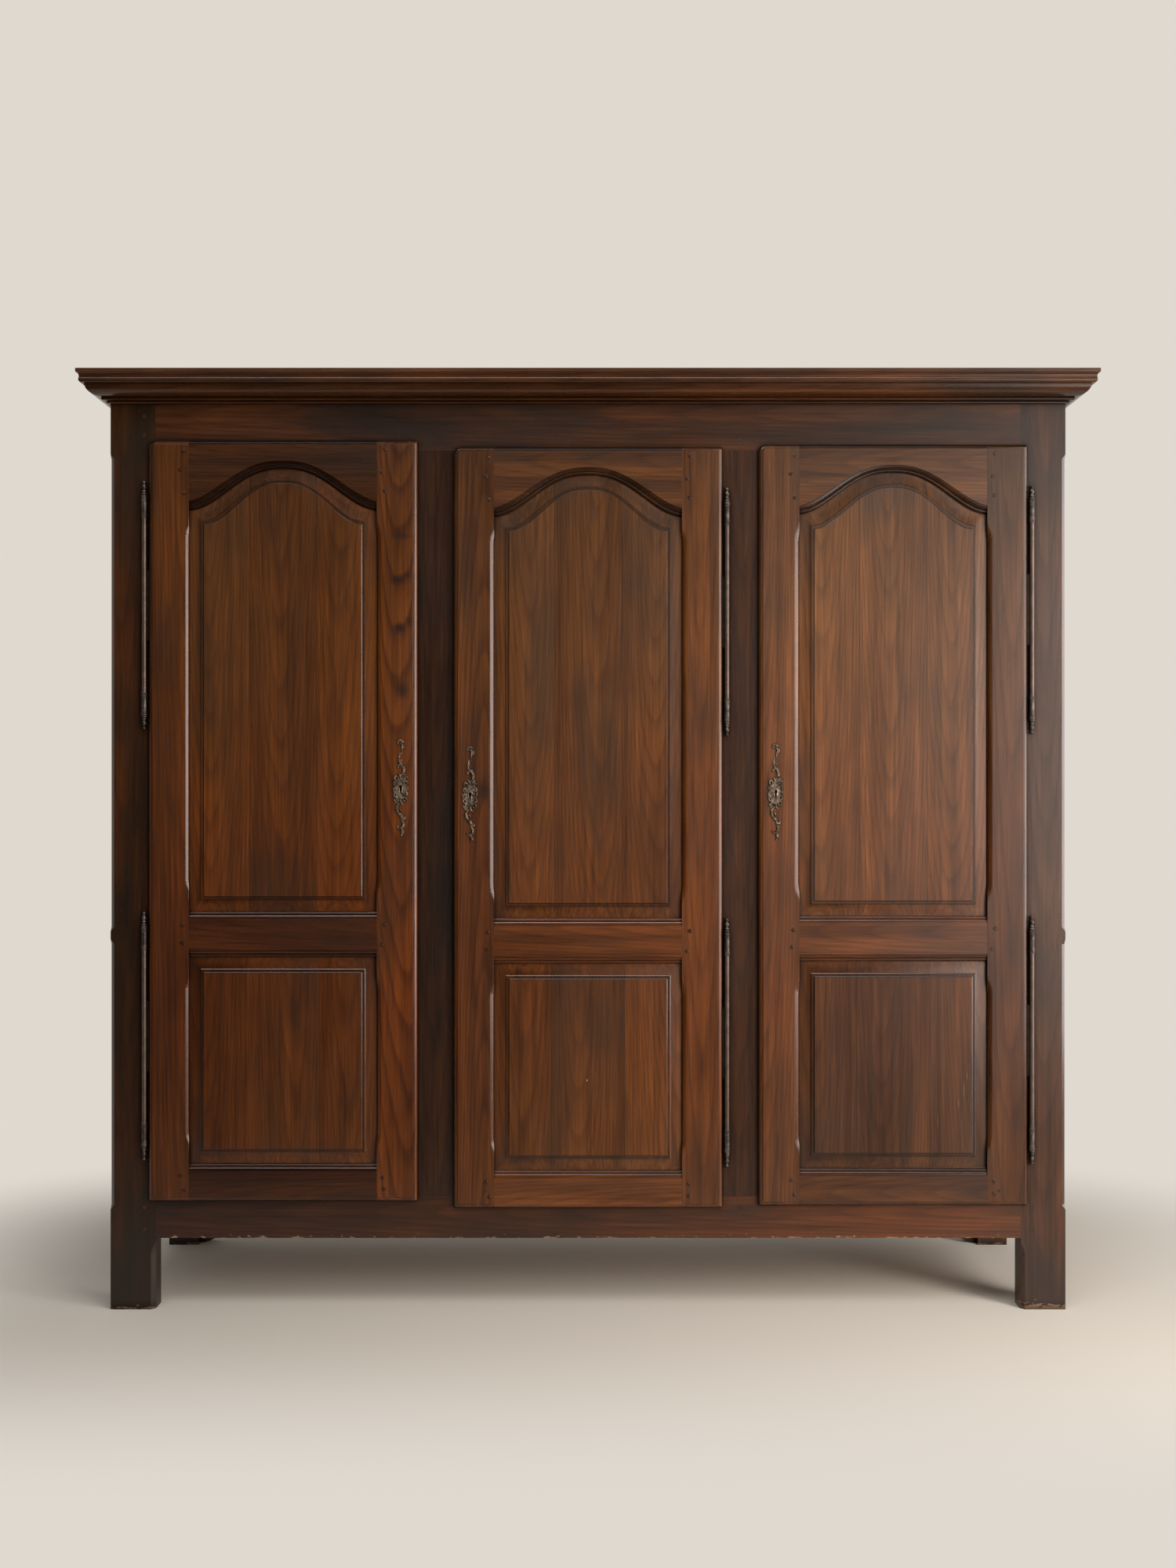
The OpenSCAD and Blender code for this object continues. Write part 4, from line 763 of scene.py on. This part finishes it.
def backing(body):
    """Thin ragged plate that carries the scrolls, open where the oval stands."""
    count = 72
    inner_wide, inner_tall, outer_wide, outer_tall = 7.0, 12.0, 12.2, 25.5
    loops = []
    for share, lift in ((0.0, 1.3), (1.0, 1.5), (1.04, 0.9), (1.04, 0.0)):
        loop = []
        for i in range(count):
            a = 2 * math.pi * i / count
            ragged = 1 + 0.08 * math.cos(9 * a + 0.6) + 0.06 * math.cos(14 * a + 2.1)
            wide = inner_wide + (outer_wide * ragged - inner_wide) * share
            tall = inner_tall + (outer_tall * ragged - inner_tall) * share
            pinch = 1 - 0.12 * share * math.sin(a) ** 8
            spot = (wide * math.cos(a) * pinch, -lift, tall * math.sin(a))
            loop.append(body.verts.new(spot))
        loops.append(loop)
    skin(body, loops)


def bead(body, x, z, radius, base):
    """Round drop of metal standing on the plate."""
    spin = Matrix.Translation((x, -base, z)) @ Matrix.Diagonal((1, 0.75, 1, 1))
    bmesh.ops.create_icosphere(body, subdivisions=2, radius=radius, matrix=spin)


KEYHOLE = [
    (2.9 * math.cos(math.radians(a)), 3.6 + 2.9 * math.sin(math.radians(a)))
    for a in range(-50, 231, 20)
] + [(-1.5, -4.0), (-1.7, -7.6), (1.7, -7.6), (1.5, -4.0)]
# Section of the oval plate: share of the way from the keyhole to its rim, height in mm
DOME = (
    (0.0, 1.2), (0.0, 2.3), (0.16, 2.7), (0.4, 2.1), (0.62, 1.9), (0.8, 2.4), (0.92, 2.2),
    (1.0, 0.0),
)


def cartouche(body):
    """Domed oval plate round the keyhole, its hole through to the wood."""
    hole = [Vector((x, 0, z)) for x, z in KEYHOLE]
    count = 48
    beads = 26
    angles = [math.radians(360 * i / count) for i in range(count)]

    def edge(angle):
        """Where the keyhole's outline lies in this direction."""
        way = Vector((math.cos(angle) * 0.42, 0, math.sin(angle))).normalized()
        return max(hole, key=lambda p: p.dot(way) - 0.6 * (p - way * p.dot(way)).length)

    loops = []
    for share, lift in DOME:
        loop = []
        for a in angles:
            scallop = 1 + 0.05 * math.cos(8 * a) * share
            outer = Vector((9.8 * math.cos(a) * scallop, 0, 17 * math.sin(a) * scallop))
            spot = edge(a).lerp(outer, share)
            loop.append(body.verts.new((spot.x, -lift, spot.z)))
        loops.append(loop)
    skin(body, loops)
    for i in range(beads):
        a = 2 * math.pi * i / beads
        bead(body, 8.0 * math.cos(a), 14.6 * math.sin(a), 0.85, 2.2)


# Leaves and stems of the plate: points (x, z) in mm from the keyhole, width, height
STEMS = (
    (((-4, 24), (5.5, 33), (6.3, 42), (3, 51), (-1.8, 56), (-3.4, 65), (-1.8, 76)), 4.6, 3.4),
    (((2.0, 73), (2.6, 82), (4.2, 91), (1.5, 96.5), (-3.5, 96.8)), 2.8, 2.8),
    (((-6.0, 95.0), (-4.5, 99.5), (0.5, 101.6), (4.6, 99.0), (4.0, 95.8)), 4.0, 3.3),
    (((3.6, 95.0), (6.8, 92.6), (7.6, 88.4), (6.0, 86.0)), 3.2, 3.0),
    (((1.8, 50), (-2.6, 50.4), (-5.2, 47.6), (-4.0, 44.8)), 2.6, 2.4),
    (((-2.2, 60), (1.4, 60.6), (2.6, 57.4)), 2.2, 2.0),
    (((4, -24), (-5.5, -33), (-8.4, -41), (-5.2, -50), (0.5, -56), (4.4, -63.4), (8.2, -64.2),
      (9.0, -60.4)), 4.6, 3.4),
    (((-1.0, -58), (2.6, -66), (5.6, -72.4), (5.8, -78.4), (1.0, -84), (-4.6, -84.4),
      (-6.0, -80.6)), 3.8, 3.2),
    (((0.0, -83.5), (3.4, -88.4), (3.6, -94), (1.8, -99.0)), 4.2, 3.2),
    (((-5.6, -44), (-1.4, -42.6), (0.2, -46), (-1.6, -49)), 2.4, 2.2),
)
# Scrolls and flames round the oval, drawn for the right side and repeated, turned, on the left
SCROLLS = (
    (((7.6, -3), (13.2, -0.5), (14.2, 5.2), (10.6, 9.4), (7.4, 7.6)), 3.4, 3.2),
    (((8.0, 5), (13.6, 9.6), (12.6, 15.8), (8.4, 16.8), (6.8, 13.6)), 3.2, 3.0),
    (((6.2, 13), (7.2, 20), (11.2, 25.4), (13.4, 24.0), (12.8, 20.8)), 3.4, 3.4),
    (((2.6, 16), (3.6, 23), (7.4, 29.4), (10.6, 29.2), (10.6, 26.2)), 3.2, 3.0),
    (((0.4, 16.5), (0.2, 24), (-2.2, 30.4), (-5.4, 33.6)), 3.8, 3.4),
    (((8.4, -6), (13.8, -8.6), (12.8, -14.2), (8.8, -14.6)), 3.2, 3.0),
    (((6.6, -13), (10.2, -18), (12.4, -23.4), (9.2, -26.8), (6.6, -24.6)), 3.4, 3.2),
    (((11.6, 2.0), (14.8, 1.2), (15.2, -2.0)), 2.2, 2.2),
)
# Drops among the scrolls, repeated like them, and at the ends of the stems: (x, z) in mm
SCROLL_DROPS = ((6.6, 13.0), (10.0, 20.8), (8.6, 26.0), (6.9, 7.4), (9.0, -14.2), (7.0, -24.6))
STEM_DROPS = ((-4.2, 96.0), (6.2, 86.4), (-4.2, 45.4), (9.0, -60.8), (-5.8, -81.0), (1.9, -98.6))


def make_escutcheon(door):
    """Cast keyhole plate in place of the CAD's plain one."""
    node = f"{door}_escutcheon"
    body = bmesh.new()
    backing(body)
    for points, wide, lift in STEMS:
        leaf(body, points, wide * 1.4, min(lift * 1.15, 3.8), (0.45, 0.4), vein=0.18)
    for turn in (1, -1):
        for points, wide, lift in SCROLLS:
            leaf(body, [(turn * x, turn * z) for x, z in points], wide * 1.15, lift, (0.5, 0.45))
    for x, z in SCROLL_DROPS:
        bead(body, x, z, 1.5, 1.6)
        bead(body, -x, -z, 1.5, 1.6)
    for x, z in STEM_DROPS:
        bead(body, x, z, 1.7, 1.7)
    cartouche(body)
    bmesh.ops.recalc_face_normals(body, faces=body.faces)
    low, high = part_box(node)
    keyhole = Matrix.Translation(((low.x + high.x) / 2, high.y, (low.z + high.z) / 2))
    body.transform(keyhole @ Matrix.Scale(0.001, 4))
    piece = add_body(f"{door}_keyhole_plate", body, BRONZE)
    smooth(piece)
    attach(piece, door)
    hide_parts(node)


for door in DOORS:
    make_escutcheon(door)


# ---------------------------------------------------------------- pegs and screws of the doors

PEG_SIDES = 8
PEG_RADIUS = 0.0042
PEG_REACH = 0.213  # from the middle of a door to its pegs
# Heights of the pegs, below the upper edge of their rail or above its lower edge
PEG_HEIGHTS = {
    "top_rail": (-0.022, -0.066, -0.110),
    "middle_rail": (-0.030, 0.030),
    "bottom_rail": (-0.028, 0.026),
}
SCREW_RADIUS = 0.0042
SCREW_INSET = (0.011, 0.012)  # from the sides and from the ends of a lock case


def hand_peg(body, x, y, z, radius, turn):
    """Whittled peg end, a little proud of the wood."""
    rings = []
    for grow, lift in ((1.0, 0.0), (1.0, 0.0004), (0.8, 0.0007)):
        ring = []
        for i in range(PEG_SIDES):
            angle = turn + 2 * math.pi * i / PEG_SIDES
            reach = radius * grow * (1 + 0.08 * math.sin(3 * angle + 5 * turn))
            spot = (x + reach * math.cos(angle), y - lift, z + reach * math.sin(angle))
            ring.append(body.verts.new(spot))
        rings.append(ring)
    skin(body, rings)
    body.faces.new(rings[-1])


def make_pegs(index, door):
    """Pegs through each joint of a door's rails with its stiles."""
    body = bmesh.new()
    for side in (-1, 1):
        for row, (rail, heights) in enumerate(PEG_HEIGHTS.items()):
            low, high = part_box(f"{door}_{rail}")
            centre = (low.x + high.x) / 2
            for k, height in enumerate(heights):
                sway = math.sin(12.7 * index + 5.1 * row + 3.3 * k + 2 * side)
                x = centre + side * (PEG_REACH + 0.004 * sway)
                z = (high.z if height < 0 else low.z) + height + 0.003 * sway
                hand_peg(body, x, low.y, z, PEG_RADIUS + 0.0004 * sway, sway)
    bmesh.ops.recalc_face_normals(body, faces=body.faces)
    piece = add_body(f"{door}_pegs", body, PEG_WOOD)
    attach(piece, door)


def screw_grid(radius):
    """Vertices and faces of a domed screw head with a slot, facing +Y."""
    slot = 0.15
    half = (0.149, slot, 0.3, 0.5, 0.75, 0.92, 1)
    rows = (*(-row for row in reversed(half)), 0, *half)
    columns = 16
    points = []
    for row in rows:
        reach = math.sqrt(max(0.0, 1 - row * row))
        for i in range(columns + 1):
            x = (2 * i / columns - 1) * reach
            rise = 0.35 * math.sqrt(max(0.0, 1.02 - x * x - row * row))
            if abs(row) < slot:
                rise = min(rise, 0.1)
            points.append(Vector((x * radius, rise * radius, row * radius)))
    wide = columns + 1
    corners = (0, wide, wide + 1, 1)
    faces = [
        tuple(r * wide + c + corner for corner in corners)
        for r in range(len(rows) - 1) for c in range(columns)
    ]
    return points, faces


def make_screws(door):
    """Four screws at the corners of a lock case, each turned its own way."""
    low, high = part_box(f"{door}_lock_case")
    grid, cells = screw_grid(SCREW_RADIUS)
    points, faces = [], []
    for x in (low.x + SCREW_INSET[0], high.x - SCREW_INSET[0]):
        for z in (low.z + SCREW_INSET[1], high.z - SCREW_INSET[1]):
            turn = Matrix.Rotation(40 * x + 17 * z, 3, "Y")
            seat = Vector((x, high.y - 0.0001, z))
            faces.extend(tuple(i + len(points) for i in cell) for cell in cells)
            points.extend(turn @ point + seat for point in grid)
    mesh = bpy.data.meshes.new(f"{door}_lock_screws")
    mesh.from_pydata(points, [], faces)
    piece = add_mesh(mesh, IRON)
    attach(piece, door)


PEG_WOOD = wood(
    "peg_wood", "xzy", dark=srgb(34, 18, 9), light=srgb(70, 38, 18), stain=srgb(24, 16, 12), seed=90
)
for index, door in enumerate(DOORS):
    make_pegs(index, door)
    make_screws(door)


# ---------------------------------------------------------------- floor, light and camera

BACKDROP = srgb(224, 217, 208)
FLOOR = srgb(230, 223, 213)
# Half the wardrobe's footprint, and how far from it the floor begins and ends to fade
FOOTPRINT = (1.015, 0.3, 1.0)
FADE = (0.05, 0.95)
CARD_RADIUS = 5.6
CARD_HEIGHTS = (0.004, 8.0)
CAMERA_PLACE = (0, -3.846, 1.117)
CAMERA_LENS = 38.88


def floor():
    """Pale floor that keeps the shadow round the feet and turns into the backdrop further out."""
    material, t = new_material("floor")
    point = t.add("ShaderNodeTexCoord").outputs["Object"]
    pale = t.add("ShaderNodeBsdfDiffuse", {"Color": FLOOR}).outputs[0]
    far = t.add("ShaderNodeEmission", {"Color": BACKDROP, "Strength": 1.0}).outputs[0]
    out = t.vector("SUBTRACT", t.vector("ABSOLUTE", point), FOOTPRINT)
    out = t.vector("MAXIMUM", out, (0, 0, 0))
    fade = t.math("MULTIPLY", t.span(t.vector("LENGTH", out), *FADE), seen_rays(t))
    both = t.add("ShaderNodeMixShader", {0: fade, 1: pale, 2: far})
    t.add("ShaderNodeOutputMaterial", {"Surface": both.outputs[0]})
    body = bmesh.new()
    bmesh.ops.create_circle(body, cap_ends=True, radius=30, segments=96)
    add_body("floor", body, material)


def world():
    """Even light from all sides, and the backdrop where it is seen."""
    made = bpy.data.worlds.new("studio")
    made.use_nodes = True
    made.node_tree.nodes.clear()
    bpy.context.scene.world = made
    t = Tree(made.node_tree)
    light = t.add("ShaderNodeBackground", {"Color": (1.0, 0.98, 0.95), "Strength": 0.25}).outputs[0]
    shown = t.add("ShaderNodeBackground", {"Color": BACKDROP, "Strength": 1.0}).outputs[0]
    both = t.add("ShaderNodeMixShader", {0: seen_rays(t), 1: light, 2: shown})
    t.add("ShaderNodeOutputWorld", {"Surface": both.outputs[0]})


def lamp(name, place, target, size, watts, colour, diffuse=True, glossy=True):
    """Rectangular lamp. diffuse and glossy say whether matt light and reflections show it."""
    data = bpy.data.lights.new(name, "AREA")
    data.shape = "RECTANGLE"
    data.size, data.size_y = size
    data.energy = watts
    data.color = colour
    piece = bpy.data.objects.new(name, data)
    piece.location = place
    piece.rotation_euler = (Vector(target) - Vector(place)).to_track_quat("-Z", "Y").to_euler()
    piece.visible_diffuse = diffuse
    piece.visible_glossy = glossy
    bpy.context.scene.collection.objects.link(piece)


def dark_card():
    """A black card round the front, behind the camera, which only reflections see."""
    material, t = new_material("dark_card")
    shade = t.add("ShaderNodeBsdfDiffuse", {"Color": (0.02, 0.02, 0.02)}).outputs[0]
    t.add("ShaderNodeOutputMaterial", {"Surface": shade})
    mesh = bpy.data.meshes.new("dark_card")
    angles = [math.radians(angle) for angle in range(-80, 81, 10)]
    count = len(angles)
    points = [
        (CARD_RADIUS * math.sin(a), -CARD_RADIUS * math.cos(a), z)
        for z in CARD_HEIGHTS for a in angles
    ]
    faces = [(i, i + 1, i + count + 1, i + count) for i in range(count - 1)]
    mesh.from_pydata(points, [], [*faces, tuple(range(count))])
    piece = add_mesh(mesh, material)
    piece.visible_camera = False
    piece.visible_diffuse = False
    piece.visible_transmission = False
    piece.visible_shadow = False


def camera():
    """The photograph's camera, level and in front of the middle door."""
    data = bpy.data.cameras.new("camera")
    data.sensor_fit = "AUTO"
    data.sensor_width = 36
    data.lens = CAMERA_LENS
    piece = bpy.data.objects.new("camera", data)
    piece.location = CAMERA_PLACE
    piece.rotation_euler = (math.radians(90), 0, 0)
    bpy.context.scene.collection.objects.link(piece)
    bpy.context.scene.camera = piece


floor()
world()
lamp("key", (3.1, -3.7, 1.4), (0.2, -0.2, 1.0), (2.6, 2.8), 120, (1.0, 0.95, 0.89))
lamp("fill", (2.3, -1.75, 1.2), (0.5, -0.25, 1.0), (0.7, 1.8), 40, (1.0, 0.94, 0.86), glossy=False)
lamp("top", (-0.2, -2.3, 4.0), (0, -0.1, 0.9), (3.4, 1.6), 46, (1.0, 0.98, 0.96), glossy=False)
lamp("sky", (-0.2, -1.9, 5.2), (0, -0.1, 0.7), (4.0, 1.8), 150, (1.0, 0.97, 0.99), diffuse=False)
lamp("window", (4.3, -0.1, 1.3), (0, -0.1, 1.1), (4.8, 2.6), 200, (1.0, 0.97, 0.97), diffuse=False)
dark_card()
camera()
bpy.context.scene.view_settings.view_transform = "Standard"
